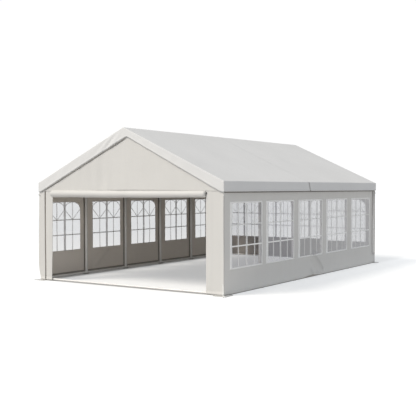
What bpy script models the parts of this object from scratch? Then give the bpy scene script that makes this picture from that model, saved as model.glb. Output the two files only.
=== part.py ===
"""Event tent with a gable roof: a tube frame under a cloth roof, cloth walls with clear windows and a
front door rolled up over the doorway. Metres, +Z up. The origin is on the ground under the middle of
the tent, X runs across it, and the open front gable faces -Y."""

import math

import bpy
import bmesh
from mathutils import Vector

# Driving sizes of the tent
WIDTH = 5.0
LENGTH = 8.0
EAVE_Z = 2.24
RIDGE_Z = 3.40
COVER_SIDE = 0.02
CLOTH = 0.010
GAP = 0.0003

# Roof cover
EAVE_VALANCE = 0.205
RAKE_VALANCE = 0.245
SEAM_Y = -0.20
CUT_MARGIN = 0.1

# Tube frame
POST_R = 0.030
RAIL_R = 0.025
GROUND_BAR_R = 0.020
SLEEVE_R = 0.033
RIDGE_SLEEVE_R = 0.0325
SLEEVE_REACH = 0.14
FOOT_SLEEVE_TOP = 0.12
EAVE_SLEEVE_BOTTOM = 2.08
BASE_RAIL_Z = 0.035
PLATE_T = 0.008
PLATE = 0.12
CORNER_PLATE = 0.30
TUBE_SIDES = 12
SHARP_DEG = 40.0
WELD = 0.00001
FIRST_BAY = 1.50
BAY = 1.515
MIDDLE_FRAMES = 4

# Walls and their windows, measured from the front face along the tent
HEM_Z = 0.012
SIDE_WALL_TOP = 2.19
WINDOW_Z = (0.59, 1.78)
SIDE_WINDOWS = 5
FIRST_WINDOW = 0.83
WINDOW_WIDTH = 1.16
REAR_WINDOWS = 4
REAR_WINDOW_WIDTH = 1.02
REAR_WINDOW_PITCH = 1.12
FILM = 0.004
GABLE_CLEAR = 0.015

# Front gable
HEAD_Z = 2.075
DOOR_X = (-2.13, 2.087)
CORNER_FLAP = 0.155
FLAP_SLIT = 0.030
ROLL_R = 0.085
ROLL_SIDES = 16

# Places that follow from the sizes
HALF_W = WIDTH / 2
HALF_L = LENGTH / 2
COVER_X = HALF_W + COVER_SIDE
COVER_Y = HALF_L + COVER_SIDE
SLOPE = math.atan2(RIDGE_Z - EAVE_Z, COVER_X)
CLOTH_DROP = CLOTH / math.cos(SLOPE)
AXIS_DROP = (CLOTH + GAP + SLEEVE_R) / math.cos(SLOPE)
POST_X = HALF_W - CLOTH - GAP - SLEEVE_R
END_Y = HALF_L - CLOTH - GAP - SLEEVE_R
AXIS_EAVE_Z = RIDGE_Z - POST_X * math.tan(SLOPE) - AXIS_DROP
AXIS_RIDGE_Z = RIDGE_Z - AXIS_DROP
FRAME_Y = [-END_Y] + [FIRST_BAY - HALF_L + BAY * i for i in range(MIDDLE_FRAMES)] + [END_Y]
SIDES = {"left": -1, "right": 1}


def clear_scene():
    """Remove the objects that the scene starts with."""
    for item in list(bpy.data.objects):
        bpy.data.objects.remove(item, do_unlink=True)


def new_collection(name, parent=None):
    """Return a new collection, linked to its parent or else to the scene."""
    made = bpy.data.collections.new(name)
    (parent or bpy.context.scene.collection).children.link(made)
    return made


def paint(name, colour, roughness, metallic=0.0, alpha=1.0):
    """Return a Principled material."""
    made = bpy.data.materials.new(name)
    made.use_nodes = True
    shader = made.node_tree.nodes["Principled BSDF"]
    shader.inputs["Base Color"].default_value = (*colour, 1.0)
    shader.inputs["Roughness"].default_value = roughness
    shader.inputs["Metallic"].default_value = metallic
    shader.inputs["Alpha"].default_value = alpha
    return made


def place(item, name, collection, material=None):
    """Name an object, move it to its collection and give it its material."""
    item.name = name
    item.data.name = name
    for owner in list(item.users_collection):
        owner.objects.unlink(item)
    collection.objects.link(item)
    if material:
        item.data.materials.clear()
        item.data.materials.append(material)
    return item


def hide_cutter(item):
    """Keep a cutter or an operand out of the model."""
    item.hide_render = True
    item.display_type = 'WIRE'
    return item


def box(name, low, high, collection, material=None):
    """Return a box between two corners."""
    low = Vector(low)
    high = Vector(high)
    bpy.ops.mesh.primitive_cube_add(size=1.0, location=(low + high) / 2)
    item = bpy.context.active_object
    item.scale = high - low
    bpy.ops.object.transform_apply(location=False, rotation=False, scale=True)
    return place(item, name, collection, material)


def tube(name, start, end, radius, collection, material=None, sides=TUBE_SIDES):
    """Return a round bar between two points, with flat ends."""
    start = Vector(start)
    end = Vector(end)
    run = end - start
    bpy.ops.mesh.primitive_cylinder_add(vertices=sides, radius=radius, depth=run.length,
                                        location=(start + end) / 2)
    item = bpy.context.active_object
    item.rotation_mode = 'QUATERNION'
    item.rotation_quaternion = run.to_track_quat('Z', 'Y')
    item.data.shade_smooth()
    item.data.set_sharp_from_angle(angle=math.radians(SHARP_DEG))
    return place(item, name, collection, material)


def gable_prism(name, outline, y_low, y_high, collection, material=None):
    """Return an outline of (x, z) points, extruded along Y, as a mesh."""
    curve = bpy.data.curves.new(name, 'CURVE')
    curve.dimensions = '2D'
    curve.fill_mode = 'BOTH'
    curve.extrude = (y_high - y_low) / 2
    spline = curve.splines.new('POLY')
    spline.points.add(len(outline) - 1)
    for point, (x, z) in zip(spline.points, outline):
        point.co = (x, z, 0.0, 1.0)
    spline.use_cyclic_u = True
    flat = bpy.data.objects.new(name, curve)
    flat.location = (0.0, (y_low + y_high) / 2, 0.0)
    flat.rotation_euler = (math.radians(90), 0.0, 0.0)
    bpy.context.scene.collection.objects.link(flat)
    bpy.context.view_layer.update()
    evaluated = flat.evaluated_get(bpy.context.evaluated_depsgraph_get())
    mesh = bpy.data.meshes.new_from_object(evaluated)
    work = bmesh.new()
    work.from_mesh(mesh)
    bmesh.ops.remove_doubles(work, verts=work.verts, dist=WELD)
    bmesh.ops.recalc_face_normals(work, faces=work.faces)
    work.to_mesh(mesh)
    work.free()
    item = bpy.data.objects.new(name, mesh)
    item.matrix_world = flat.matrix_world.copy()
    bpy.context.scene.collection.objects.link(item)
    bpy.data.objects.remove(flat, do_unlink=True)
    bpy.data.curves.remove(curve)
    return place(item, name, collection, material)


def combine(item, operand, operation):
    """Add an exact Boolean with one object, or with every object of a collection."""
    modifier = item.modifiers.new(operation.lower(), 'BOOLEAN')
    modifier.operation = operation
    modifier.solver = 'EXACT'
    if isinstance(operand, bpy.types.Collection):
        modifier.operand_type = 'COLLECTION'
        modifier.collection = operand
    else:
        modifier.object = operand
    return item


def roof_z(x, drop=0.0):
    """Height of the roof's upper face at x, less a vertical drop."""
    return RIDGE_Z - abs(x) * math.tan(SLOPE) - drop


def slope_point(side, distance):
    """Point (x, z) on a rafter's axis, at a distance from the eave's axis."""
    x = side * (POST_X - distance * math.cos(SLOPE))
    return x, AXIS_EAVE_Z + distance * math.sin(SLOPE)


def plate_box(name, x, y, size, collection, material=None):
    """Return a square plate on the ground, centred on x and y."""
    return box(name, (x - size / 2, y - size / 2, 0.0), (x + size / 2, y + size / 2, PLATE_T), collection,
               material)


def build_ground_frame(parts, tools, steel):
    """Base rails with a sleeve for each post, their plates, and a ground bar at each end."""
    ends = {"front": -END_Y, "rear": END_Y}
    for label, side in SIDES.items():
        x = side * POST_X
        name = f"base_rail_{label}"
        feet = new_collection(f"{name}_feet", tools)
        rail = tube(name, (x, -END_Y, BASE_RAIL_Z), (x, END_Y, BASE_RAIL_Z), RAIL_R, parts, steel)
        for number, y in enumerate(FRAME_Y, start=1):
            at_corner = y in ends.values()
            sleeve_low = PLATE_T + GAP if at_corner else PLATE_T / 2
            hide_cutter(tube(f"{name}_sleeve_{number}", (x, y, sleeve_low), (x, y, FOOT_SLEEVE_TOP),
                             SLEEVE_R, feet))
            if not at_corner:
                hide_cutter(plate_box(f"{name}_plate_{number}", x, y, PLATE, feet))
        combine(rail, feet, 'UNION')
        for end, y in ends.items():
            plate_box(f"corner_plate_{end}_{label}", x, y, CORNER_PLATE, parts, steel)
    reach = POST_X - SLEEVE_R - GAP
    for end, y in ends.items():
        tube(f"base_rail_{end}", (-reach, y, BASE_RAIL_Z), (reach, y, BASE_RAIL_Z), GROUND_BAR_R, parts,
             steel)


def build_posts(parts, steel):
    """Six posts a side, from the foot sleeve to the eave sleeve."""
    for label, side in SIDES.items():
        for number, y in enumerate(FRAME_Y, start=1):
            tube(f"post_{label}_{number}", (side * POST_X, y, FOOT_SLEEVE_TOP + GAP),
                 (side * POST_X, y, EAVE_SLEEVE_BOTTOM - GAP), POST_R, parts, steel)


def build_eave_rails(parts, tools, steel):
    """Eaves rails, with an elbow at each frame for its post and its rafter."""
    for label, side in SIDES.items():
        name = f"eaves_rail_{label}"
        elbows = new_collection(f"{name}_elbows", tools)
        x = side * POST_X
        tip_x, tip_z = slope_point(side, SLEEVE_REACH)
        rail = tube(name, (x, -END_Y, AXIS_EAVE_Z), (x, END_Y, AXIS_EAVE_Z), RAIL_R, parts, steel)
        for number, y in enumerate(FRAME_Y, start=1):
            hide_cutter(tube(f"{name}_down_{number}", (x, y, EAVE_SLEEVE_BOTTOM), (x, y, AXIS_EAVE_Z),
                             SLEEVE_R, elbows))
            hide_cutter(tube(f"{name}_up_{number}", (x, y, AXIS_EAVE_Z), (tip_x, y, tip_z), SLEEVE_R,
                             elbows))
        combine(rail, elbows, 'UNION')


def build_ridge_rail(parts, tools, steel):
    """Ridge rail, with a sleeve along it and two sloping ones at each frame."""
    name = "ridge_rail"
    sleeves = new_collection(f"{name}_sleeves", tools)
    rail = tube(name, (0.0, -END_Y, AXIS_RIDGE_Z), (0.0, END_Y, AXIS_RIDGE_Z), RAIL_R, parts, steel)
    length = rafter_length()
    for number, y in enumerate(FRAME_Y, start=1):
        low = max(y - SLEEVE_REACH / 2, -END_Y - SLEEVE_R)
        high = min(y + SLEEVE_REACH / 2, END_Y + SLEEVE_R)
        hide_cutter(tube(f"{name}_along_{number}", (0.0, low, AXIS_RIDGE_Z), (0.0, high, AXIS_RIDGE_Z),
                         RIDGE_SLEEVE_R, sleeves))
        for label, side in SIDES.items():
            tip_x, tip_z = slope_point(side, length - SLEEVE_REACH)
            hide_cutter(tube(f"{name}_{label}_{number}", (0.0, y, AXIS_RIDGE_Z), (tip_x, y, tip_z),
                             SLEEVE_R, sleeves))
    combine(rail, sleeves, 'UNION')


def rafter_length():
    """Distance along the slope between the eave's axis and the ridge's axis."""
    return POST_X / math.cos(SLOPE)


def build_rafters(parts, steel):
    """A rafter on each side of each frame, between its eave sleeve and its ridge sleeve."""
    length = rafter_length()
    for label, side in SIDES.items():
        low_x, low_z = slope_point(side, SLEEVE_REACH + GAP)
        high_x, high_z = slope_point(side, length - SLEEVE_REACH - GAP)
        for number, y in enumerate(FRAME_Y, start=1):
            tube(f"rafter_{label}_{number}", (low_x, y, low_z), (high_x, y, high_z), RAIL_R, parts,
                 steel)


def build_roof(parts, tools, cloth):
    """Two half covers that meet at the seam, each with eave valances and a rake valance."""
    skirt_z = EAVE_Z - EAVE_VALANCE
    outer = [(-COVER_X, skirt_z), (COVER_X, skirt_z), (COVER_X, EAVE_Z), (0.0, RIDGE_Z),
             (-COVER_X, EAVE_Z)]
    inside_x = COVER_X - CLOTH
    below = skirt_z - CUT_MARGIN
    hollow = [(-inside_x, below), (inside_x, below), (inside_x, roof_z(inside_x, CLOTH_DROP)),
              (0.0, RIDGE_Z - CLOTH_DROP), (-inside_x, roof_z(inside_x, CLOTH_DROP))]
    mouth_x = (RIDGE_Z - RAKE_VALANCE - below) / math.tan(SLOPE)
    mouth = [(-mouth_x, below), (mouth_x, below), (0.0, RIDGE_Z - RAKE_VALANCE)]
    halves = {"front": (-COVER_Y, SEAM_Y - GAP / 2, -1), "rear": (SEAM_Y + GAP / 2, COVER_Y, 1)}
    for label, (low, high, end) in halves.items():
        cover = gable_prism(f"roof_cover_{label}", outer, low, high, parts, cloth)
        inside_low = low + CLOTH if end < 0 else low - CUT_MARGIN
        inside_high = high - CLOTH if end > 0 else high + CUT_MARGIN
        inside = hide_cutter(gable_prism(f"roof_{label}_inside", hollow, inside_low, inside_high, tools))
        face = end * COVER_Y
        opening = hide_cutter(gable_prism(f"roof_{label}_mouth", mouth, face - CUT_MARGIN, face + CUT_MARGIN,
                                          tools))
        combine(cover, inside, 'DIFFERENCE')
        combine(cover, opening, 'DIFFERENCE')


def build_side_walls(parts, tools, cloth, film):
    """Side walls, each with a row of windows closed by clear film."""
    end = HALF_L - CLOTH - GAP
    for label, side in SIDES.items():
        faces = sorted((side * HALF_W, side * (HALF_W - CLOTH)))
        middle = sum(faces) / 2
        wall = box(f"wall_{label}", (faces[0], -end, HEM_Z), (faces[1], end, SIDE_WALL_TOP), parts, cloth)
        for number in range(1, SIDE_WINDOWS + 1):
            y = FIRST_WINDOW - HALF_L + BAY * (number - 1)
            low, high = y - WINDOW_WIDTH / 2, y + WINDOW_WIDTH / 2
            hole = hide_cutter(box(f"wall_{label}_hole_{number}", (middle - CLOTH, low, WINDOW_Z[0]),
                                   (middle + CLOTH, high, WINDOW_Z[1]), tools))
            combine(wall, hole, 'DIFFERENCE')
            box(f"window_{label}_{number}", (middle - FILM / 2, low + GAP, WINDOW_Z[0] + GAP),
                (middle + FILM / 2, high - GAP, WINDOW_Z[1] - GAP), parts, film)


def build_rear_wall(parts, tools, cloth, film):
    """Rear gable wall in one piece, with its row of windows."""
    face, back = HALF_L - CLOTH, HALF_L
    middle = (face + back) / 2
    shoulder = roof_z(HALF_W, CLOTH_DROP + GABLE_CLEAR)
    outline = [(-HALF_W, HEM_Z), (HALF_W, HEM_Z), (HALF_W, shoulder),
               (0.0, roof_z(0.0, CLOTH_DROP + GABLE_CLEAR)), (-HALF_W, shoulder)]
    wall = gable_prism("wall_rear", outline, face, back, parts, cloth)
    for number in range(1, REAR_WINDOWS + 1):
        x = REAR_WINDOW_PITCH * (number - (REAR_WINDOWS + 1) / 2)
        low, high = x - REAR_WINDOW_WIDTH / 2, x + REAR_WINDOW_WIDTH / 2
        hole = hide_cutter(box(f"wall_rear_hole_{number}", (low, middle - CLOTH, WINDOW_Z[0]),
                               (high, middle + CLOTH, WINDOW_Z[1]), tools))
        combine(wall, hole, 'DIFFERENCE')
        box(f"window_rear_{number}", (low + GAP, middle - FILM / 2, WINDOW_Z[0] + GAP),
            (high - GAP, middle + FILM / 2, WINDOW_Z[1] - GAP), parts, film)


def build_front(parts, cloth):
    """Front gable panel, the strips beside the doorway and the door rolled up under the panel."""
    outside, inside = -HALF_L, -HALF_L + CLOTH
    shoulder = roof_z(HALF_W, CLOTH_DROP + GABLE_CLEAR)
    gable_prism("front_gable", [(-HALF_W, HEAD_Z), (HALF_W, HEAD_Z), (HALF_W, shoulder),
                                (0.0, roof_z(0.0, CLOTH_DROP + GABLE_CLEAR)), (-HALF_W, shoulder)],
                outside, inside, parts, cloth)
    flap_x = -HALF_W + CORNER_FLAP
    strips = {"front_flap_left": (-HALF_W, flap_x),
              "front_strip_left": (flap_x + FLAP_SLIT, DOOR_X[0] - GAP),
              "front_strip_right": (DOOR_X[1] + GAP, HALF_W)}
    for name, (low, high) in strips.items():
        box(name, (low, outside, HEM_Z), (high, inside, HEAD_Z - GAP), parts, cloth)
    roll_y = (outside + inside) / 2
    roll_z = HEAD_Z - GAP - ROLL_R
    tube("door_roll", (DOOR_X[0], roll_y, roll_z), (DOOR_X[1], roll_y, roll_z), ROLL_R, parts, cloth,
         ROLL_SIDES)


def main():
    """Build the tent."""
    clear_scene()
    parts = new_collection("event_tent")
    tools = new_collection("cutters")
    steel = paint("frame_steel", (0.62, 0.61, 0.59), 0.45, 0.2)
    roof_cloth = paint("roof_cloth", (0.80, 0.80, 0.79), 0.75)
    wall_cloth = paint("wall_cloth", (0.76, 0.75, 0.72), 0.80)
    film = paint("window_film", (0.88, 0.89, 0.91), 0.15, alpha=0.35)
    build_ground_frame(parts, tools, steel)
    build_posts(parts, steel)
    build_eave_rails(parts, tools, steel)
    build_rafters(parts, steel)
    build_ridge_rail(parts, tools, steel)
    build_roof(parts, tools, roof_cloth)
    build_side_walls(parts, tools, wall_cloth, film)
    build_rear_wall(parts, tools, wall_cloth, film)
    build_front(parts, wall_cloth)


main()
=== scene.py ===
"""Event tent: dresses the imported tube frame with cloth, clear windows, fittings and studio light.

Metres, +Z up. The origin is on the ground under the middle of the tent, X runs across it, and the open
front gable faces -Y. Flat places on a panel are (u, v): u runs along the panel and v is the height."""

import logging
import math
from collections.abc import Sequence
from dataclasses import dataclass, replace
from enum import Enum, IntEnum
from functools import cached_property, reduce

import bmesh
import bpy
import numpy as np
from mathutils import Matrix, Vector


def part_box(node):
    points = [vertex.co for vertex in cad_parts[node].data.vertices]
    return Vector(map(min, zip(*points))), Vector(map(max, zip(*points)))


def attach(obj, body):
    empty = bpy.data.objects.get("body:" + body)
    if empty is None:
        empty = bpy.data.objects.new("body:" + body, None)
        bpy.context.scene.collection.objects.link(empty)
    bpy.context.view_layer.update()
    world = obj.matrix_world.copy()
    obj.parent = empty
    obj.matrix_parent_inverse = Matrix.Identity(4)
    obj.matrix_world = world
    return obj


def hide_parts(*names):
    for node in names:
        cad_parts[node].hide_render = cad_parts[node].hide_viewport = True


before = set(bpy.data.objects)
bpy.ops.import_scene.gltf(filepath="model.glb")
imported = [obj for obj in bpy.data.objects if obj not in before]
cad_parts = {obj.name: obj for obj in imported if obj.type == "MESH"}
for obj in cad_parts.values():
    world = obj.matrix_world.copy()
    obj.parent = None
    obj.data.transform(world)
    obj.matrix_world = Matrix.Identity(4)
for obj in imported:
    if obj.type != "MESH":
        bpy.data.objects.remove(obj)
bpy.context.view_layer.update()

LOG = logging.getLogger("event_tent")
Colour = tuple[float, float, float]
Place = tuple[float, float, float]
Flat = tuple[float, float]
Hole = tuple[Flat, Flat]
Span = tuple[float, float]
Lines = np.ndarray | float
Socket = bpy.types.NodeSocket
Material = bpy.types.Material
Mesh = bpy.types.Mesh
Piece = bpy.types.Object

FLAT_MAP = "flat"
# Vertex attribute that holds the painted shade along the creases
CREASE_SHADE_MAP = "soil"
BODY = "root"
UP = np.array([0.0, 0.0, 1.0])
SIDES = (("left", -1), ("right", 1))
BLACK = (0.0, 0.0, 0.0)
DUST = (0.33, 0.30, 0.26)
# Colour of the painted shade on the lower flanks of the tubes at the foot
UNDER_SHADE_COLOUR = (0.13, 0.12, 0.11)
BRIGHT = (0.97, 0.97, 0.96)

# Sizes that the frame's nodes share
HALF_W = 2.5
HALF_L = 4.0
COVER_X = 2.52
COVER_Y = 4.02
EAVE_Z = 2.24
RIDGE_Z = 3.40
SLOPE = math.atan2(RIDGE_Z - EAVE_Z, COVER_X)
SLOPE_RUN = COVER_X / math.cos(SLOPE)
FRAMES = range(1, 7)
SHEET = 0.002
SLEEVE_R = 0.033
WELD = 0.0002
HEM_STEP = 0.001


class Facing(Enum):
    """Side of the tent that a panel closes, as the way its outer face looks."""

    LEFT = (-1.0, 0.0)
    RIGHT = (1.0, 0.0)
    FRONT = (0.0, -1.0)
    REAR = (0.0, 1.0)

    @property
    def out(self) -> np.ndarray:
        """Unit vector that points away from the tent."""
        return np.array([*self.value, 0.0])

    @property
    def along(self) -> np.ndarray:
        """Unit vector of the flat place's u."""
        return np.array([abs(self.value[1]), abs(self.value[0]), 0.0])

    @property
    def flips(self) -> bool:
        """True where a grid of u and v would face into the tent."""
        return self in (Facing.LEFT, Facing.REAR)


class Slot(Enum):
    """Material slots of the record."""

    STEEL = "frame_steel"
    ROOF = "roof_cloth"
    WALL = "wall_cloth"
    FILM = "window_film"


class Ink(IntEnum):
    """Prints on a window's film, in the order of the piece's materials."""

    BAR = 0
    VEIL = 1
    THIN = 2
    BRIGHT = 3


class Recipe:
    """A node tree in the making, for a material or the sky."""

    def __init__(self, owner: bpy.types.ID) -> None:
        """Open the node tree of a material or a world.

        Args:
            owner: the material or the world.
        """
        owner.use_nodes = True
        self.owner = owner
        self.tree = owner.node_tree
        self.shader = self.tree.nodes.get("Principled BSDF")

    @cached_property
    def place(self) -> Socket:
        """The object's own coordinates."""
        return self.add("TexCoord").outputs["Object"]

    def feed(self, socket: Socket, value: object) -> None:
        """Link an output to an input, or set the input to a constant.

        Args:
            socket: the input.
            value: an output socket, a number or a colour.
        """
        if isinstance(value, Socket):
            self.tree.links.new(value, socket)
        else:
            socket.default_value = value

    def add(self, kind: str, settings: dict[str, object] | None = None, **inputs: object) -> bpy.types.Node:
        """Add a shader node.

        Args:
            kind: the node's type, without its ShaderNode prefix.
            settings: the node's properties.
            inputs: its inputs by name, with _ for a space.

        Returns:
            The node.
        """
        node = self.tree.nodes.new("ShaderNode" + kind)
        for name, value in (settings or {}).items():
            setattr(node, name, value)
        for name, value in inputs.items():
            self.feed(node.inputs[name.replace("_", " ")], value)
        return node

    def join(self, kind: str, *values: object, **settings: object) -> Socket:
        """Add a shader node and feed its inputs in order.

        Args:
            kind: the node's type, without its ShaderNode prefix.
            values: its inputs, each an output or a constant.
            settings: its properties.

        Returns:
            Its first output.
        """
        node = self.add(kind, settings)
        for socket, value in zip(node.inputs, values):
            self.feed(socket, value)
        return node.outputs[0]

    def maths(self, operation: str, *values: object) -> Socket:
        """Add a Math node over the values and return its output."""
        return self.join("Math", *values, operation=operation)

    def product(self, *values: object) -> Socket:
        """Multiply values in turn and return the product."""
        return reduce(lambda made, value: self.maths("MULTIPLY", made, value), values)

    def blend(self, share: object, first: object, second: object) -> Socket:
        """Mix two colours.

        Args:
            share: how much of the second colour shows.
            first: an output or a colour.
            second: an output or a colour.

        Returns:
            The mixed colour's output.
        """
        node = self.add("Mix", {"data_type": "RGBA"})
        for index, value in ((0, share), (6, first), (7, second)):
            self.feed(node.inputs[index], (*value, 1.0) if isinstance(value, tuple) else value)
        return node.outputs[2]

    def noise(self, place: Socket, scale: float, detail: float = 3.0) -> Socket:
        """Add a noise texture and return its value."""
        return self.add("TexNoise", Vector=place, Scale=scale, Detail=detail).outputs["Fac"]

    def ramp(self, value: object, low: float, high: float, bottom: object, top: object) -> Socket:
        """Map a value's range to another range, clamped, and return the result."""
        node = self.add("MapRange", Value=value, From_Min=low, From_Max=high, To_Min=bottom, To_Max=top)
        return node.outputs["Result"]

    def patchy(self, scale: float, bottom: float = 0.0, top: float = 1.0, span: Span = (0.3, 0.7),
               place: Socket | None = None, detail: float = 3.0) -> Socket:
        """Return soft patches, which are noise with a span of it mapped to a range."""
        return self.ramp(self.noise(place or self.place, scale, detail), *span, bottom, top)

    def stretched(self, scale: Place) -> Socket:
        """Return the object's coordinates, scaled axis by axis."""
        return self.add("Mapping", Vector=self.place, Scale=scale).outputs["Vector"]

    def axes(self, place: Socket) -> bpy.types.bpy_prop_collection:
        """Return a place's X, Y and Z outputs."""
        return self.add("SeparateXYZ", Vector=place).outputs

    def dress(self, **values: object) -> None:
        """Feed inputs of the material's shader, by name with _ for a space."""
        for name, value in values.items():
            self.feed(self.shader.inputs[name.replace("_", " ")], value)

    def relief(self, *layers: tuple[object, float]) -> None:
        """Stack bumps and feed them to the material's shader.

        Args:
            layers: a height output and its depth in metres for each bump.
        """
        below = {}
        for height, depth in layers:
            below = {"Normal": self.add("Bump", Height=height, Distance=depth, **below).outputs["Normal"]}
        self.dress(**below)


def shade(colour: Colour, share: float) -> Colour:
    """Return a colour times a share."""
    return tuple(channel * share for channel in colour)


@dataclass(frozen=True)
class Finish:
    """What a surface is made of, as a material with nodes of its own."""

    name: str
    colour: Colour = (0.92, 0.92, 0.92)
    roughness: float = 0.45

    def paint(self, recipe: Recipe) -> None:
        """Lay the nodes; each kind of finish has its own."""
        raise NotImplementedError

    def material(self) -> Material:
        """Make the finish.

        Returns:
            The material.
        """
        recipe = Recipe(bpy.data.materials.new(self.name))
        self.paint(recipe)
        return recipe.owner

    def tone(self, recipe: Recipe, scale: float, darkest: float) -> Socket:
        """Return the colour with soft patches of a darker shade."""
        return recipe.blend(recipe.patchy(scale), shade(self.colour, darkest), self.colour)

    def rough(self, recipe: Recipe, scale: float, below: float, above: float) -> Socket:
        """Return the roughness, uneven by so much below and above."""
        return recipe.patchy(scale, self.roughness - below, self.roughness + above)


@dataclass(frozen=True)
class CoatedCloth(Finish):
    """Woven cloth with a matt plastic coat: fine weave, soft crumples, uneven tone and dust at the foot."""

    roughness: float = 0.62
    weave_pitch: float = 0.005
    crumple: float = 0.004
    spread: float = 0.05
    dust: float = 0.04
    dust_top: float = 0.16
    # Share of painted shade that darkens the cloth towards the top
    painted_top_shade: float = 0.0
    fade_low: float = 1.35
    fade_high: float = 2.0
    stitch_axis: str = "Y"
    stitch_at: float = 0.044
    stitch_step: float = 0.005
    stitch_length: float = 0.0036
    thread_r: float = 0.0011

    def paint(self, recipe: Recipe) -> None:
        """Lay tone, streaks, thread, painted shade along the creases and towards the top, and dust at the
        foot, and the relief of crumples, weave and stitches.

        Args:
            recipe: the material's nodes.
        """
        flat = recipe.add("UVMap", {"uv_map": FLAT_MAP}).outputs["UV"]
        dull = shade(self.colour, 1.0 - self.spread)
        streaks = recipe.patchy(1.0, 0.0, 0.5, (0.35, 0.75), recipe.stretched((5.0, 5.0, 0.5)))
        height = recipe.axes(recipe.place)["Z"]
        stitches = self.stitches(recipe, flat)
        # Painted shade: the cloth is darker along its creases, by a vertex attribute
        soil = recipe.add("Attribute", {"attribute_name": CREASE_SHADE_MAP}).outputs["Fac"]
        colour = self.tone(recipe, 0.8, 1.0 - self.spread)
        # Painted shade goes on here along the creases and towards the top; the thread and the dust at the
        # foot are real
        for share, layer in ((streaks, dull), (recipe.product(stitches, 0.25), shade(self.colour, 0.6)),
                             (soil, shade(self.colour, 0.5)),
                             (recipe.ramp(height, self.fade_low, self.fade_high, 0.0, self.painted_top_shade), BLACK),
                             (recipe.product(recipe.ramp(height, 0.0, self.dust_top, self.dust, 0.0),
                                             recipe.patchy(7.0, 0.3, 1.0, (0.35, 0.65))), DUST)):
            colour = recipe.blend(share, colour, layer)
        recipe.dress(Base_Color=colour, Roughness=self.rough(recipe, 3.0, 0.06, 0.06), Sheen_Weight=0.06)
        wave = 2.0 * math.pi / (20.0 * self.weave_pitch)
        weave = (recipe.add("TexWave", {"bands_direction": axis}, Vector=flat, Scale=wave).outputs["Fac"]
                 for axis in "XY")
        recipe.relief((recipe.noise(recipe.place, 4.0, 4.0), self.crumple),
                      (recipe.noise(recipe.place, 26.0, 2.0), 0.0006),
                      (recipe.maths("ADD", *weave), 0.00008), (stitches, -0.0004))

    def stitches(self, recipe: Recipe, flat: Socket) -> Socket:
        """Find the hem's stitches, a dashed line at one distance along an axis of the flat map.

        Args:
            recipe: the material's nodes.
            flat: the flat places.

        Returns:
            An output that is 1 on the thread.
        """
        axes = recipe.axes(flat)
        run = axes["X" if self.stitch_axis == "Y" else "Y"]
        off = recipe.maths("ABSOLUTE", axes[self.stitch_axis])
        dash = recipe.maths("LESS_THAN", recipe.maths("PINGPONG", run, self.stitch_step), self.stitch_length)
        return recipe.product(recipe.maths("COMPARE", off, self.stitch_at, self.thread_r), dash)


@dataclass(frozen=True)
class ClearFilm(Finish):
    """Soft clear film, a little milky and wavy."""

    colour: Colour = (0.54, 0.55, 0.58)
    roughness: float = 0.16
    cover: float = 0.33

    def paint(self, recipe: Recipe) -> None:
        """Lay the haze and the waves.

        Args:
            recipe: the material's nodes.
        """
        recipe.dress(Base_Color=self.tone(recipe, 1.6, 0.94), Roughness=self.rough(recipe, 5.0, 0.05, 0.08),
                     Alpha=self.cover, IOR=1.5)
        recipe.relief((recipe.noise(recipe.stretched((1.0, 1.0, 3.0)), 2.2), 0.006))
        recipe.owner.surface_render_method = 'BLENDED'


@dataclass(frozen=True)
class PrintedBar(Finish):
    """White print on the film: the window's bars, border and arch corners."""

    roughness: float = 0.42
    cover: float = 1.0

    def paint(self, recipe: Recipe) -> None:
        """Lay the worn print.

        Args:
            recipe: the material's nodes.
        """
        worn = recipe.blend(recipe.patchy(12.0, span=(0.35, 0.7)), self.colour, shade(self.colour, 0.93))
        recipe.dress(Base_Color=worn, Roughness=self.roughness, Alpha=self.cover)
        recipe.relief((recipe.noise(recipe.place, 60.0, 2.0), 0.0003))


@dataclass(frozen=True)
class PaintedSteel(Finish):
    """Steel tube with a light powder coat: a fine orange-peel skin, scuffs and painted shade at the foot.

    Under the roof the tubes get darker with the height, as what lights them lies low."""

    roughness: float = 0.42
    # Share of painted shade that darkens the tubes towards the top
    painted_top_shade: float = 0.40
    fade_low: float = 1.05
    fade_high: float = 1.95
    # Painted shade at the foot of the tubes, thinner on faces that look up
    under_shade: float = 0.80
    under_shade_low: float = 0.014
    under_shade_high: float = 0.030

    def paint(self, recipe: Recipe) -> None:
        """Lay tone, scuffs, the painted shade towards the top, and the painted shade at the foot,
        which is thinner on faces that look up.

        Args:
            recipe: the material's nodes.
        """
        height = recipe.axes(recipe.place)["Z"]
        up = recipe.axes(recipe.place.node.outputs["Normal"])["Z"]
        # Painted shade on the lower flanks and undersides of the tubes near the ground
        under_shade = recipe.product(recipe.ramp(height, self.under_shade_low, self.under_shade_high, self.under_shade, 0.0),
                              recipe.ramp(up, 0.3, 0.8, 1.0, 0.25))
        scuffs = recipe.patchy(34.0, 0.0, 0.30, (0.62, 0.68), recipe.stretched((1.0, 1.0, 0.25)), 5.0)
        colour = self.tone(recipe, 2.4, 0.97)
        # Painted shade towards the top, and at the foot on faces that don't look up
        for share, layer in ((scuffs, shade(self.colour, 0.62)),
                             (recipe.ramp(height, self.fade_low, self.fade_high, 0.0, self.painted_top_shade), BLACK),
                             (under_shade, UNDER_SHADE_COLOUR)):
            colour = recipe.blend(share, colour, layer)
        recipe.dress(Base_Color=colour, Roughness=self.rough(recipe, 9.0, 0.08, 0.1), Coat_Weight=1.0,
                     Coat_Roughness=0.22)
        recipe.relief((recipe.noise(recipe.place, 260.0, 2.0), 0.0002))


@dataclass(frozen=True)
class SmallPart(Finish):
    """Balls, ties and toggles, with a slightly uneven skin."""

    def paint(self, recipe: Recipe) -> None:
        """Lay the uneven skin."""
        recipe.dress(Base_Color=self.tone(recipe, 90.0, 0.85), Roughness=self.roughness)
        recipe.relief((recipe.noise(recipe.place, 300.0, 2.0), 0.0002))


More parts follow.
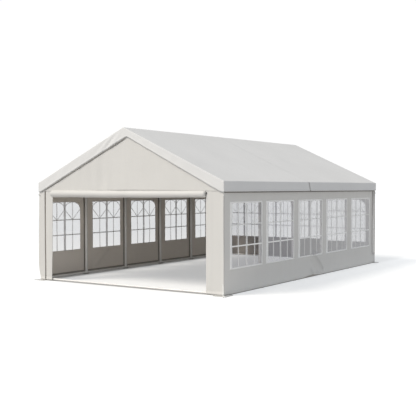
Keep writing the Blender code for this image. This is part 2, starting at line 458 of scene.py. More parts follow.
class Finishes:
    """Every material of the tent, each made once."""

    def __init__(self) -> None:
        """Make the materials."""
        self.roof = CoatedCloth("roof_cloth", (0.735, 0.735, 0.735), crumple=0.003, dust=0.0, stitch_axis="X",
                                stitch_at=SLOPE_RUN + 0.181).material()
        self.wall = CoatedCloth("wall_cloth", (0.685, 0.675, 0.655)).material()
        # The lining darkens towards the top as painted shade
        self.lining = CoatedCloth("wall_lining", (0.87, 0.81, 0.74), painted_top_shade=0.18).material()
        # A darker copy of the lining: painted shade on the rear wall's inner face
        self.rear_lining = CoatedCloth("rear_lining", (0.58, 0.54, 0.48)).material()
        # Dark cloth for the bands that stand in for shade: painted shade, darker again towards the top
        self.band = CoatedCloth("joint_band", (0.37, 0.34, 0.31), dust=0.0, painted_top_shade=0.55).material()
        self.film = ClearFilm("clear_film").material()
        # Each outside film gets its own tone and cover: painted light off the film that grows towards the
        # rear, and painted shade on the first, darkest film
        painted_film_light = ((0.05, 0.20), (0.90, 0.35), (0.97, 0.47), (0.97, 0.52), (0.97, 0.57))
        self.outer_films = [ClearFilm(f"outer_film_{number}", (tone, tone, min(1.0, tone + 0.08)),
                                      cover=cover).material()
                            for number, (tone, cover) in enumerate(painted_film_light, start=1)]
        self.bar = PrintedBar("window_bar", cover=0.60).material()
        # A brighter copy of the bar print for the outside of the right wall: painted light
        self.outer_bar = PrintedBar("window_outer_bar", BRIGHT, cover=0.62).material()
        self.border = PrintedBar("window_border", BRIGHT).material()
        self.prints = [PrintedBar("arch_corner", cover=0.16).material(),
                       PrintedBar("window_thin_bar", cover=0.42).material(), self.border]
        self.steel = PaintedSteel("frame_steel", (0.98, 0.97, 0.95)).material()
        self.ball = SmallPart("white_ball", (0.82, 0.82, 0.80)).material()
        self.toggle = SmallPart("dark_toggle", (0.06, 0.055, 0.05)).material()


@dataclass
class Patch:
    """Part of a sheet on a grid: its points, their flat places, and the cells that are cloth."""

    points: np.ndarray
    flat: np.ndarray
    cells: np.ndarray | None = None
    flips: bool = False
    material: int = 0


def unit(value: np.ndarray) -> np.ndarray:
    """Clip a value to the range from 0 to 1."""
    return np.clip(value, 0.0, 1.0)


def centre(node: str) -> Vector:
    """Return the middle of a node's box."""
    return sum(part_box(node), Vector()) / 2


def roof_height(x: Lines) -> Lines:
    """Return the height of the roof's upper face over x."""
    return RIDGE_Z - np.abs(x) * math.tan(SLOPE)


def grid_lines(stops: Sequence[float], step: float) -> np.ndarray:
    """Lay positions through every stop, at most a step apart.

    Args:
        stops: positions that a line has to fall on, in order.
        step: the widest spacing.

    Returns:
        The positions, in order.
    """
    runs = [np.linspace(low, high, max(1, math.ceil((high - low) / step - 1e-6)) + 1)[:-1]
            for low, high in zip(stops, stops[1:])]
    return np.concatenate([*runs, [stops[-1]]])


def hole_cells(columns: np.ndarray, rows: np.ndarray, hole: Hole) -> np.ndarray:
    """Find the cells of a grid that lie in a hole.

    Args:
        columns: the grid's u lines.
        rows: its v lines.
        hole: the hole's lower and upper corner.

    Returns:
        An array of bool, one a cell.
    """
    across, up = ((lines[:-1] + lines[1:]) / 2 for lines in (columns, rows))
    (low_u, low_v), (high_u, high_v) = hole
    return ((up > low_v) & (up < high_v))[:, None] & ((across > low_u) & (across < high_u))[None, :]


def build_mesh(name: str, patches: Sequence[Patch]) -> Mesh:
    """Join patches into one welded mesh, with the flat places as its UV map.

    Args:
        name: the mesh's name.
        patches: the parts of the sheet.

    Returns:
        The mesh.
    """
    points, faces, flat, slots = [], [], [], []
    start = 0
    for patch in patches:
        rows, columns = patch.points.shape[:2]
        index = np.arange(rows * columns).reshape(rows, columns) + start
        quads = np.stack([index[:-1, :-1], index[:-1, 1:], index[1:, 1:], index[1:, :-1]], -1)
        quads = quads.reshape(-1, 4) if patch.cells is None else quads[patch.cells]
        if patch.flips:
            quads = quads[:, ::-1]
        points.append(patch.points.reshape(-1, 3))
        flat.append(patch.flat.reshape(-1, 2)[(quads - start).ravel()])
        faces.append(quads)
        slots.append(np.full(len(quads), patch.material, np.int32))
        start += rows * columns
    mesh = bpy.data.meshes.new(name)
    mesh.from_pydata(np.concatenate(points).tolist(), [], np.concatenate(faces).tolist())
    places = np.concatenate(flat).astype(np.float32)
    mesh.uv_layers.new(name=FLAT_MAP).uv.foreach_set("vector", places.ravel())
    mesh.polygons.foreach_set("material_index", np.concatenate(slots))
    work = bmesh.new()
    work.from_mesh(mesh)
    bmesh.ops.delete(work, geom=[point for point in work.verts if not point.link_faces], context='VERTS')
    bmesh.ops.remove_doubles(work, verts=work.verts, dist=WELD)
    work.to_mesh(mesh)
    work.free()
    return mesh


def put(name: str, data: bpy.types.ID) -> Piece:
    """Show data as a new object of the scene.

    Args:
        name: the object's name.
        data: its mesh, curve, camera or lamp.

    Returns:
        The object.
    """
    shown = bpy.data.objects.new(name, data)
    bpy.context.scene.collection.objects.link(shown)
    return shown


def add_piece(mesh: Mesh, materials: Sequence[Material], slot: Slot, replaces: Sequence[str] = (),
              crease_deg: float = 180.0, thickness: float = 0.0) -> Piece:
    """Put a mesh in the scene as a piece of the tent.

    Args:
        mesh: its mesh, in the frame's coordinates, which also names it.
        materials: its materials, in slot order; the last one lines a sheet.
        slot: the record's material slot; not used.
        replaces: the CAD nodes that it stands for.
        crease_deg: edges sharper than this stay sharp.
        thickness: how far behind a sheet its inner face lies.

    Returns:
        The piece.
    """
    piece = put(mesh.name, mesh)
    for material in materials:
        mesh.materials.append(material)
    mesh.shade_smooth()
    if crease_deg < 180.0:
        mesh.set_sharp_from_angle(angle=math.radians(crease_deg))
    if thickness:
        modifier = piece.modifiers.new("cloth", 'SOLIDIFY')
        modifier.thickness = thickness
        modifier.offset = -1.0
        modifier.material_offset = len(materials) - 1
    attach(piece, BODY)
    if replaces:
        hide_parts(*replaces)
    LOG.info("%s: %d faces", piece.name, len(mesh.polygons))
    return piece


@dataclass(frozen=True)
class Ripples:
    """Soft unevenness of hung cloth: a sum of waves whose ways and lengths are spread from a seed."""

    height: float
    length: float
    seed: int
    upright: float = 0.0
    waves: int = 9

    def at(self, u: np.ndarray, v: np.ndarray) -> np.ndarray:
        """Work out the height of the ripples.

        Args:
            u: places along the panel.
            v: heights.

        Returns:
            The heights, of about the ripples' own height either way.
        """
        source = np.random.default_rng(self.seed)
        total = np.zeros(np.broadcast(u, v).shape)
        for _ in range(self.waves):
            turn = source.uniform(-1.0, 1.0) * (1.0 - self.upright) * math.pi / 2
            length = self.length * source.uniform(0.6, 1.7)
            phase = source.uniform(0.0, 2.0 * math.pi)
            total += np.sin(2.0 * math.pi / length * (u * math.cos(turn) + v * math.sin(turn)) + phase)
        return self.height * total / math.sqrt(self.waves)


@dataclass(frozen=True)
class Crease:
    """A soft ridge in cloth along a straight line between two flat places."""

    start: Flat
    end: Flat
    height: float
    width: float
    # Share of painted shade that darkens the cloth along the crease
    soil: float = 0.0

    def shape(self, u: np.ndarray, v: np.ndarray) -> np.ndarray:
        """Work out the ridge's share of its height, which fades out past its ends.

        Args:
            u: places along the panel.
            v: heights.

        Returns:
            The shares, 1 on the line.
        """
        run = np.subtract(self.end, self.start)
        length = float(np.hypot(*run))
        off_u, off_v = u - self.start[0], v - self.start[1]
        away = (off_v * run[0] - off_u * run[1]) / length
        share = (off_u * run[0] + off_v * run[1]) / length**2
        beyond = np.maximum(0.0, np.abs(share - 0.5) - 0.5) * length
        return np.exp(-((away / self.width) ** 2) - (beyond / self.width) ** 2)

    def at(self, u: np.ndarray, v: np.ndarray) -> np.ndarray:
        """Return the crease's height."""
        return self.height * self.shape(u, v)


@dataclass
class Panel:
    """An upright sheet of cloth, fixed at its edges, with a soft relief."""

    name: str
    facing: Facing
    face: float
    ripples: Sequence[Ripples] = ()
    creases: Sequence[Crease] = ()
    foot_z: float = 0.012
    hem: float = 0.035
    hem_height: float = 0.0012
    lift_u: float = 0.0
    lift_width: float = 0.3
    lift_top: float = 0.14
    lift: float = 0.0

    def relief(self, u: np.ndarray, v: np.ndarray) -> np.ndarray:
        """Return how far the cloth stands out from its flat face."""
        total = sum((layer.at(u, v) for layer in (*self.ripples, *self.creases)), np.zeros(u.shape))
        return total + np.where(v < self.foot_z + self.hem - HEM_STEP / 2, self.hem_height, 0.0)

    def mark_crease_shade(self, mesh: Mesh) -> None:
        """Write on each vertex how much painted shade darkens the cloth along its creases.

        Args:
            mesh: the sheet's mesh.
        """
        places = np.array([point.co for point in mesh.vertices])
        u, v = places @ self.facing.along, places[:, 2]
        soil = sum((crease.soil * crease.shape(u, v) for crease in self.creases), np.zeros(u.shape))
        mesh.attributes.new(CREASE_SHADE_MAP, "FLOAT", "POINT").data.foreach_set("value", unit(soil))

    def points(self, u: np.ndarray, v: np.ndarray, lift: Lines = 0.0) -> np.ndarray:
        """Place flat places on the sheet.

        Args:
            u: places along the panel.
            v: heights.
            lift: distance out from the sheet's outer face.

        Returns:
            The points, as an array with a last axis of three.
        """
        reach = (self.face + self.relief(u, v) + lift)[..., None]
        if self.lift:
            low = unit(1.0 - (v - self.foot_z) / self.lift_top)
            v = v + self.lift * low * np.exp(-(((u - self.lift_u) / self.lift_width) ** 2))
        return reach * self.facing.out + u[..., None] * self.facing.along + v[..., None] * UP

    def patch(self, u: np.ndarray, v: np.ndarray, cells: np.ndarray | None = None, lift: Lines = 0.0,
              turned: bool = False, material: int = 0) -> Patch:
        """Lay the sheet over a grid of flat places.

        Args:
            u: places along the panel.
            v: heights, which spread over u.
            cells: the cells that are cloth, or None for all.
            lift: distance out from the sheet's outer face.
            turned: True to face into the tent.
            material: index of the patch's material.

        Returns:
            The patch.
        """
        u, v = np.broadcast_arrays(u, v)
        points = self.points(u, v, lift)
        return Patch(points, np.stack([u, v], -1), cells, self.facing.flips != turned, material)

    def between(self, columns: np.ndarray, low: Lines, high: Lines, shares: np.ndarray) -> Patch:
        """Return the sheet between two heights that may change along u, with a row at each share."""
        return self.patch(columns, low + shares[:, None] * (high - low))

    def hem_lines(self, foot: float) -> list[float]:
        """Return the rows that shape a hem whose lower edge lies at a height."""
        return [foot, foot + self.hem - HEM_STEP, foot + self.hem]

    def holed(self, ends: Sequence[float], foot: float, top: float, holes: Sequence[Hole],
              step: float) -> Patch:
        """Lay the sheet with holes cut out of it.

        Args:
            ends: places along the panel that need a column, its ends among them.
            foot: height of the lower edge.
            top: height of the upper edge.
            holes: the holes.
            step: the widest spacing of the grid.

        Returns:
            The patch.
        """
        edges = [edge for hole in holes for edge in hole]
        columns = grid_lines(sorted({*ends, *(u for u, _ in edges)}), step)
        rows = grid_lines(sorted({*self.hem_lines(foot), top, *(v for _, v in edges)}), step)
        cut = np.any([hole_cells(columns, rows, hole) for hole in holes], axis=0)
        return self.patch(columns, rows[:, None], ~cut)

    def bar(self, path: np.ndarray, width: float, lift: float, depth: float, ink: Ink) -> Patch:
        """Lay a flat bar along a path, closed all round.

        Args:
            path: flat places, one a row.
            width: the bar's width.
            lift: its middle's distance out from the sheet's face.
            depth: half of its thickness.
            ink: its print.

        Returns:
            The bar.
        """
        run = np.gradient(path, axis=0)
        run /= np.linalg.norm(run, axis=1, keepdims=True)
        across = np.stack([-run[:, 1], run[:, 0]], -1) * width / 2
        ring = np.stack([path + across * side for side in (1, -1, -1, 1, 1)], 1)
        lifts = lift + depth * np.array([1, 1, -1, -1, 1])
        return self.patch(ring[..., 0], ring[..., 1], lift=lifts, turned=True, material=ink)


def wall_ripples(seed: int, fine_seed: int) -> list[Ripples]:
    """Return a wall's wide ripples and its fine upright ones."""
    return [Ripples(0.0022, 1.1, seed), Ripples(0.0016, 0.34, fine_seed, upright=0.8)]


@dataclass
class Assembly:
    """A part of the tent, dressed with its finishes."""

    finishes: Finishes

    def cloth(self, name: str, patches: Sequence[Patch], node: str, lining: Material | None = None) -> Piece:
        """Add a sheet of wall cloth in place of a node, lined as usual or with a material of its own."""
        return add_piece(build_mesh(name, patches), [self.finishes.wall, lining or self.finishes.lining],
                         Slot.WALL, [node], thickness=SHEET)


@dataclass
class ArchedWindow(Assembly):
    """A clear window with a white border and white bars: two arches over two rows of panes.

    Its bars are laid out in the printed field from low to high; the hole in the cloth lies inset from it."""

    panel: Panel
    node: str
    low: Flat
    high: Flat
    inset: float = 0.0
    corner: float = 0.0
    border: float = 0.055
    inner_border: Span = (0.0, 0.0)
    centre_bar: float = 0.070
    thin_bar: float = 0.034
    cross_bar: float = 0.028
    arch_bar: float = 0.024
    row_shares: Span = (0.321, 0.632)
    outer_number: int = 0
    spring_share: float = 0.843
    film_lift: float = -0.001
    film_margin: float = 0.02
    half_film: float = 0.0004
    centre_depth: float = 0.0009
    arch_depth: float = 0.0008
    cross_depth: float = 0.0006
    spoke_depths: Span = (0.0005, 0.0004)
    thin_depth: float = 0.0003
    crease_deg: float = 30.0
    border_lift: float = 0.001
    border_t: float = 0.0009
    border_lap: float = 0.003
    grid: float = 0.06

    @property
    def name(self) -> str:
        """The window's name, with its side first."""
        return "{1}_{0}_{2}".format(*self.node.split("_"))

    @property
    def hole(self) -> Hole:
        """Lower and upper corner of the hole in the cloth."""
        return (tuple(edge + self.inset for edge in self.low), tuple(edge - self.inset for edge in self.high))

    def at(self, across: Lines, up: Lines) -> np.ndarray:
        """Return flat places at shares of the printed field's width and height."""
        shares = np.stack(np.broadcast_arrays(across, up), -1)
        return np.array(self.low) + shares * np.subtract(self.high, self.low)

    def line(self, start: Flat, end: Flat, steps: int = 30) -> np.ndarray:
        """Return a straight path between two places given as shares."""
        return self.at(*np.linspace(start, end, steps + 1).T)

    def arch(self, left: float, steps: int = 28) -> np.ndarray:
        """Lay an arch over half of the window, from its spring to the top.

        Args:
            left: the share of the width at which the half starts.
            steps: steps along the arch.

        Returns:
            Flat places, one a row.
        """
        turn = np.linspace(math.pi, 0.0, steps + 1)
        return self.at(left + 0.25 + 0.25 * np.cos(turn),
                       self.spring_share + (1.0 - self.spring_share) * np.sin(turn))

    def shown(self, path: np.ndarray, slack: float = 0.004) -> np.ndarray:
        """Keep the part of a path that the cloth leaves open.

        Args:
            path: flat places, one a row.
            slack: how far past the hole it may reach.

        Returns:
            The places that show.
        """
        low, high = np.array(self.hole)
        seen = np.all((path >= low - slack) & (path <= high + slack), axis=1)
        if self.corner:
            past = path - (high - self.corner)
            seen &= (past.min(axis=1) < 0.0) | (np.hypot(*past.T) < self.corner)
        return path[seen]

    def bars(self) -> list[Patch]:
        """Lay out the bars, each kind at its own small depth so that crossing bars don't share a face.

        Returns:
            The bars that show.
        """
        second = self.row_shares[1]
        low_ink, thin_ink = (Ink.BRIGHT, Ink.BAR) if self.outer_number else (Ink.BAR, Ink.THIN)
        runs = [(self.line((0.5, 0.0), (0.5, 1.0)), self.centre_bar, self.centre_depth, Ink.BAR)]
        runs += [(self.line((0.0, row), (1.0, row)), self.cross_bar, self.cross_depth, ink)
                 for row, ink in zip(self.row_shares, (low_ink, Ink.BAR))]
        for left in (0.0, 0.5):
            middle = left + 0.25
            runs += [(self.line((middle, 0.0), (middle, 1.0)), self.thin_bar, self.thin_depth, thin_ink),
                     (self.arch(left), self.arch_bar, self.arch_depth, Ink.THIN)]
            runs += [(self.line((edge, self.spring_share), (middle, second)), self.arch_bar, depth, Ink.THIN)
                     for edge, depth in zip((left, left + 0.5), self.spoke_depths)]
        paths = [(self.shown(path), *rest) for path, *rest in runs]
        return [self.panel.bar(path, width, self.film_lift, self.half_film + depth, ink)
                for path, width, depth, ink in paths if len(path) > 1]

    def arch_corners(self, columns: int = 20, rows: int = 4) -> list[Patch]:
        """Fill the milky corners between each arch and the window's top.

        Args:
            columns: steps along an arch.
            rows: steps from it to the top.

        Returns:
            One patch an arch.
        """
        low, high = self.hole
        share = np.linspace(0.0, 1.0, rows + 1)[:, None]
        outlines = [np.clip(self.arch(left, columns), low, high) for left in (0.0, 0.5)]
        return [self.panel.patch(line[:, 0], line[:, 1] * (1.0 - share) + high[1] * share, None,
                                 self.film_lift + self.half_film / 2, material=Ink.VEIL) for line in outlines]

    def cloth_corner(self, steps: int = 12) -> Patch:
        """Round off the hole's upper corner at the high u with cloth.

        Args:
            steps: steps along the round edge.

        Returns:
            The patch.
        """
        turn = np.linspace(0.0, math.pi / 2, steps + 1)
        way = np.stack([np.cos(turn), np.sin(turn)], -1)
        ways = np.stack([way, way / way.max(axis=1, keepdims=True)])
        flat = np.array(self.hole[1]) - self.corner + ways * self.corner
        return self.panel.patch(flat[..., 0], flat[..., 1], turned=True)

    def border_patch(self) -> Patch:
        """Lay the white border, a flat frame on the wall's outer face.

        Returns:
            The patch.
        """
        low, high = np.array(self.hole) + ((self.border_lap,), (-self.border_lap,))
        near, far = self.inner_border
        inner = (low + (near, 0.0), high - (far, 0.0))
        outer = (low - self.border, high + self.border)
        columns, rows = (grid_lines([outer[0][n], inner[0][n], inner[1][n], outer[1][n]], self.grid)
                         for n in (0, 1))
        return self.panel.patch(columns, rows[:, None], ~hole_cells(columns, rows, inner), self.border_lift)

    def part(self, name: str, patches: Sequence[Patch], materials: Sequence[Material],
             **settings: object) -> Piece:
        """Add a part of the window, with add_piece's settings."""
        return add_piece(build_mesh(f"{self.name}_{name}", patches), materials, Slot.FILM, **settings)

    def build(self) -> None:
        """Add the film, its bars and its border."""
        dress = self.finishes
        columns, rows = (grid_lines([start - self.film_margin, end + self.film_margin], self.grid)
                         for start, end in zip(*self.hole))
        skin, bar = dress.film, dress.bar
        if self.outer_number:
            skin, bar = dress.outer_films[self.outer_number - 1], dress.outer_bar
        sheet = self.panel.patch(columns, rows[:, None], lift=self.film_lift)
        film = self.part("film", [sheet], [skin], replaces=[self.node])
        bars = self.part("bars", [*self.bars(), *self.arch_corners()], [bar, *dress.prints],
                         crease_deg=self.crease_deg)
        border = self.part("border", [self.border_patch()], [dress.border], crease_deg=self.crease_deg,
                           thickness=self.border_t)


@dataclass
class SideWall(Assembly):
    """A side wall of cloth between the base rail and the valance, with its row of windows.

    Seen from outside, the right wall's windows show more of their printed field than the left wall's show
    from inside, so each side has its own field. Its rear edge is open in a slot beside the corner post."""

    facing: Facing
    windows: int = 5
    top_z: float = 2.19
    grid: float = 0.04
    slot: Hole = ((3.775, 0.24), (3.982, 2.03))
    lift_u: float = -0.10
    lift: float = 0.034
    band_width: float = 0.042
    band_lead: float = 0.030
    band_t: float = 0.001
    outer_lift: float = 0.0014
    inner_lift: float = -0.0032
    # Strips of painted shade: inside along the foot, outside under the valance
    foot_shade_strip: Place = (0.004, 0.05, 0.098)
    valance_shade_strip: Span = (2.012, 2.05)
    band_gap: float = 0.03
    band_end: float = 0.02
    outer_half: float = 0.655
    outer_field: Span = (0.100, 0.062)
    end_shift: float = 0.05
    inner_reach: Span = (0.560, 0.500)
    inner_field: Span = (0.030, 0.003)
    last_extra: float = 0.07

    @property
    def label(self) -> str:
        """The side's name."""
        return self.facing.name.lower()

    @property
    def is_right(self) -> bool:
        """True for the right wall."""
        return self.facing is Facing.RIGHT

    def panel(self) -> Panel:
        """Crease the wall's sheet, with painted shade along some creases; the right one has its hem
        lifted near the middle.

        Returns:
            The sheet.
        """
        name = f"{self.label}_wall"
        ripples = wall_ripples(11 + self.is_right, 23 + self.is_right)
        if not self.is_right:
            return Panel(name, self.facing, HALF_W, ripples,
                         [Crease((-2.12, 0.17), (-1.62, 0.55), -0.014, 0.05, soil=0.20),
                          Crease((-2.3, 0.1), (-2.0, 0.42), 0.006, 0.05)])
        creases = [Crease((0.46, 0.14), (0.02, 0.50), 0.050, 0.080),
                   Crease((0.28, 0.12), (-0.10, 0.42), -0.026, 0.080),
                   Crease((0.48, 0.15), (0.05, 0.50), 0.004, 0.062, soil=0.34),
                   Crease((-0.12, 0.16), (-0.02, 0.07), 0.002, 0.05, soil=0.30),
                   Crease((-0.45, 0.05), (0.30, 0.05), 0.008, 0.05),
                   Crease((-1.9, 0.10), (-1.45, 0.46), 0.007, 0.07),
                   Crease((-3.0, 0.08), (-2.6, 0.30), 0.006, 0.07),
                   Crease((1.2, 0.10), (1.6, 0.42), 0.006, 0.07)]
        return Panel(name, self.facing, HALF_W, ripples, creases, lift_u=self.lift_u, lift=self.lift)

    def window(self, panel: Panel, number: int) -> ArchedWindow:
        """Place a window by the frame's window node.

        Args:
            panel: the wall's sheet.
            number: the window's number from the front.

        Returns:
            The window.
        """
        node = f"window_{self.label}_{number}"
        (low, high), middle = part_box(node), centre(node).y
        if self.is_right:
            middle += self.end_shift * (number in (1, self.windows))
            below, above = self.outer_field
            return ArchedWindow(self.finishes, panel, node, (middle - self.outer_half, low.z - below),
                                (middle + self.outer_half, high.z + above), inset=0.030, border=0.030,
                                inner_border=(0.060, 0.010), row_shares=(0.3365, 0.651), thin_bar=0.042,
                                arch_bar=0.010, outer_number=number)
        before, after = self.inner_reach
        after += self.last_extra * (number == self.windows)
        below, above = self.inner_field
        return ArchedWindow(self.finishes, panel, node, (middle - before, low.z + below),
                            (middle + after, high.z - above), corner=0.22 * (number % 2))

    def build(self) -> None:
        """Add the wall and its windows."""
        panel = self.panel()
        node = f"wall_{self.label}"
        low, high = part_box(node)
        windows = [self.window(panel, number) for number in range(1, self.windows + 1)]
        holes = [window.hole for window in windows] + [self.slot] * self.is_right
        sheet = panel.holed((low.y, high.y), low.z, self.top_z, holes, self.grid)
        corners = [window.cloth_corner() for window in windows if window.corner]
        wall = self.cloth(panel.name, [sheet, *corners], node)
        panel.mark_crease_shade(wall.data)
        for window in windows:
            window.build()
        self.build_bands(panel, low.y + self.band_end, high.y - self.band_end)

    def build_bands(self, panel: Panel, start: float, end: float) -> None:
        """Add the dark bands, which are painted shade: one inside along the foot, one outside under the
        valance and, on the left, one inside at each joint in front of a post.

        Args:
            panel: the wall's sheet.
            start: where the long bands start.
            end: where they end.
        """
        still = replace(panel, lift=0.0)
        foot = grid_lines([start, end], self.grid)
        half = self.band_width / 2
        # Each band is a dark strip of painted shade
        bands = [(foot, np.array(self.foot_shade_strip), False), (foot, np.array(self.valance_shade_strip), True)]
        for number in range(2, 6) if not self.is_right else ():
            middle = centre(f"post_{self.label}_{number}").y - self.band_lead
            bands.append((np.array([middle - half, middle, middle + half]),
                          grid_lines([self.foot_shade_strip[-1], self.top_z - self.band_gap], self.grid), False))
        lifts = (self.inner_lift, self.outer_lift)
        patches = [still.patch(columns, rows[:, None], lift=lifts[is_outside], turned=not is_outside)
                   for columns, rows, is_outside in bands]
        add_piece(build_mesh(f"{self.label}_joint_bands", patches), [self.finishes.band], Slot.WALL,
                  thickness=self.band_t)


@dataclass
class RearWall(Assembly):
    """The rear gable wall, with its row of windows."""

    windows: int = 4
    half_width: float = 0.53
    shift: float = -0.10
    shoulder_z: float = 2.0
    foot_gap: float = 0.02
    top_gap: float = 0.006
    last_extra: float = 0.12
    roof_clear: float = 0.026
    grid: float = 0.07

    def window(self, panel: Panel, number: int) -> ArchedWindow:
        """Place a window by the frame's window node; the last one is the largest.

        Args:
            panel: the wall's sheet.
            number: the window's number from the left.

        Returns:
            The window.
        """
        node = f"window_rear_{number}"
        (start, end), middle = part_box(node), centre(node).x + self.shift
        is_last = number == self.windows
        return ArchedWindow(self.finishes, panel, node,
                            (middle - self.half_width, start.z + self.foot_gap * (-1 if is_last else 1)),
                            (middle + self.half_width + self.last_extra * is_last, end.z - self.top_gap),
                            corner=0.24 if is_last else 0.16, border=0.026, centre_bar=0.055, thin_bar=0.018,
                            cross_bar=0.022, arch_bar=0.010, row_shares=(0.316, 0.722 if is_last else 0.619))

    def build(self) -> None:
        """Add the wall and its windows."""
        panel = Panel("rear_wall", Facing.REAR, HALF_L, wall_ripples(31, 37))
        low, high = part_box("wall_rear")
        windows = [self.window(panel, number) for number in range(1, self.windows + 1)]
        holes = [window.hole for window in windows]
        sheet = panel.holed((low.x, 0.0, high.x), low.z, self.shoulder_z, holes, self.grid)
        columns = sheet.flat[0, :, 0]
        top = roof_height(columns) - self.roof_clear
        shares = grid_lines([0.0, 1.0], self.grid / (RIDGE_Z - self.shoulder_z))
        patches = [sheet, panel.between(columns, self.shoulder_z, top, shares)]
        wall = self.cloth(panel.name, [*patches, *(window.cloth_corner() for window in windows)], "wall_rear",
                          self.finishes.rear_lining)
        for window in windows:
            window.build()


@dataclass(frozen=True)
class Pleats:
    """Small pleats that pulled cloth throws round one place."""

    middle: float
    width: float
    lean: float
    pitch: float
    height: float

    def at(self, x: np.ndarray, z: np.ndarray) -> np.ndarray:
        """Return the pleats' height."""
        fade = self.height * np.exp(-(((x - self.middle) / self.width) ** 2))
        return fade * np.sin((x + self.lean * z) * 2.0 * math.pi / self.pitch)


@dataclass
class RoofHalf(Assembly):
    """Half of the roof cover: both slopes, the eave valances and the valance down the rake."""

    facing: Facing
    rake: float = 0.245
    valance: float = 0.205
    seam_y: float = -0.275
    seam_gap: float = 0.013
    lap: float = 0.014
    lap_width: float = 0.03
    lap_band: float = 0.1
    lap_height: float = 0.0025
    sag: float = 0.008
    rake_flare: float = 0.010
    foot_x: float = 2.47
    foot_slope: float = 0.498
    valance_flare: float = 0.038
    fold: float = 0.030
    hem: float = 0.027
    hem_band: float = 0.0272
    drop_grid: float = 0.03
    grid: float = 0.075
    pleats: tuple[Pleats, ...] = (Pleats(-0.42, 0.26, 0.55, 0.105, 0.0115),
                                  Pleats(0.38, 0.20, -0.60, 0.12, 0.0075))

    @property
    def end(self) -> int:
        """Which way this half runs from the seam, -1 or 1."""
        return int(self.facing.value[1])

    @property
    def fold_steps(self) -> list[float]:
        """Distances of the lines beside a fold."""
        return [self.fold / 3 * step for step in (1, 2, 3)]

    def drop_lines(self) -> np.ndarray:
        """Return the lines down a valance, from its fold to its hem."""
        hem = self.valance - self.hem
        return grid_lines([0.0, *self.fold_steps, hem - HEM_STEP, hem, self.valance], self.drop_grid)

    def across_lines(self) -> np.ndarray:
        """Lay the lines along the cloth's width.

        Returns:
            Signed lengths from the ridge.
        """
        near = self.fold_steps
        stops = [0.0, *near, *(SLOPE_RUN - step for step in reversed(near)), SLOPE_RUN]
        half = np.concatenate([grid_lines(stops, self.grid), SLOPE_RUN + self.drop_lines()[1:]])
        return np.concatenate([-half[:0:-1], half])

    def section(self, across: np.ndarray) -> tuple[np.ndarray, np.ndarray, np.ndarray]:
        """Work out the place and the outward way of the cloth's cross section.

        Args:
            across: signed lengths from the ridge.

        Returns:
            The points and the normals, as (x, z) on the last axis, and the drop below the eave.
        """
        side = np.sign(across)
        on_slope = np.minimum(np.abs(across), SLOPE_RUN)
        drop = np.abs(across) - on_slope
        run, rise = math.cos(SLOPE), math.sin(SLOPE)
        points = np.stack([side * on_slope * run, RIDGE_Z - on_slope * rise - drop], -1)
        hanging = drop > 0.0
        normals = np.stack([side * np.where(hanging, 1.0, rise), np.where(hanging, 0.0, run)], -1)
        return points, normals, drop

    def cover_patch(self) -> Patch:
        """Lay the slopes and the eave valances in one sheet, which sags between the frames.

        Returns:
            The patch.
        """
        frames = [round(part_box(f"post_left_{number}")[0].y + 0.03, 4) for number in FRAMES]
        start, edge = self.seam_y + self.end * self.seam_gap, self.end * COVER_Y
        low, high = sorted([start, edge])
        inner = [y for y in frames if low + 0.05 < y < high - 0.05]
        near_edge = [edge - self.end * step for step in self.fold_steps[:2]]
        rows = [*grid_lines([low, low + self.fold, *inner, high - self.fold, high], self.grid), *near_edge]
        across, y = np.meshgrid(self.across_lines(), np.unique(np.round(rows, 5)))
        points, normals, drop = self.section(across)
        lap = np.where(drop > 0.0, 0.0, self.lap * (1.0 - unit(np.abs(y - start) / self.lap_width)))
        y = y - self.end * lap
        between = np.sin(math.pi * np.interp(y, frames, np.arange(len(frames)))) ** 2
        belly = np.sin(math.pi * unit(np.abs(across) / SLOPE_RUN))
        fade = unit((np.abs(edge - y) - self.fold) / 0.25)
        ripples = Ripples(0.0014, 0.9, 41 + self.end).at(across, y) * belly * fade
        waves = Ripples(0.005, 0.55, 47 + self.end, upright=1.0).at(y, across) * fade
        flare = self.valance_flare * unit(np.abs(edge - y) / 0.3)
        on_lap = (self.facing is Facing.FRONT) & (np.abs(y - start) < self.lap_band) & (drop <= 0.0)
        out = (ripples - self.sag * between * belly + unit(drop / self.valance) * (flare + waves)
               + self.lap_height * on_lap + HEM_STEP * (drop > self.valance - self.hem_band))
        place = points + normals * out[..., None]
        return Patch(np.stack([place[..., 0], y, place[..., 1]], -1), np.stack([across, y], -1))

    def rake_hem(self, x: np.ndarray) -> np.ndarray:
        """Work out the rake valance's hem; the front one narrows towards the ridge on its right.

        Args:
            x: places across the tent.

        Returns:
            The hem's height at each place.
        """
        hem = EAVE_Z - self.valance
        if self.facing is Facing.REAR:
            return np.maximum(roof_height(x) - self.rake, hem)
        left = np.where(x < 0.12, RIDGE_Z - self.rake + x * math.tan(SLOPE), RIDGE_Z)
        right = roof_height(self.foot_x) - self.rake + (self.foot_x - x) * self.foot_slope
        edge = np.minimum(left, right)
        blend = unit((COVER_X - np.abs(x)) / 0.05)
        return np.where(np.abs(x) > 2.40, hem * (1.0 - blend) + np.maximum(edge, hem - 0.03) * blend, edge)

    def gathers(self, x: np.ndarray, z: np.ndarray) -> np.ndarray:
        """Return how far the pulled cloth stands out on both sides of the ridge."""
        return sum((layer.at(x, z) for layer in self.pleats), Ripples(0.0022, 0.22, 59, upright=0.4).at(x, z))

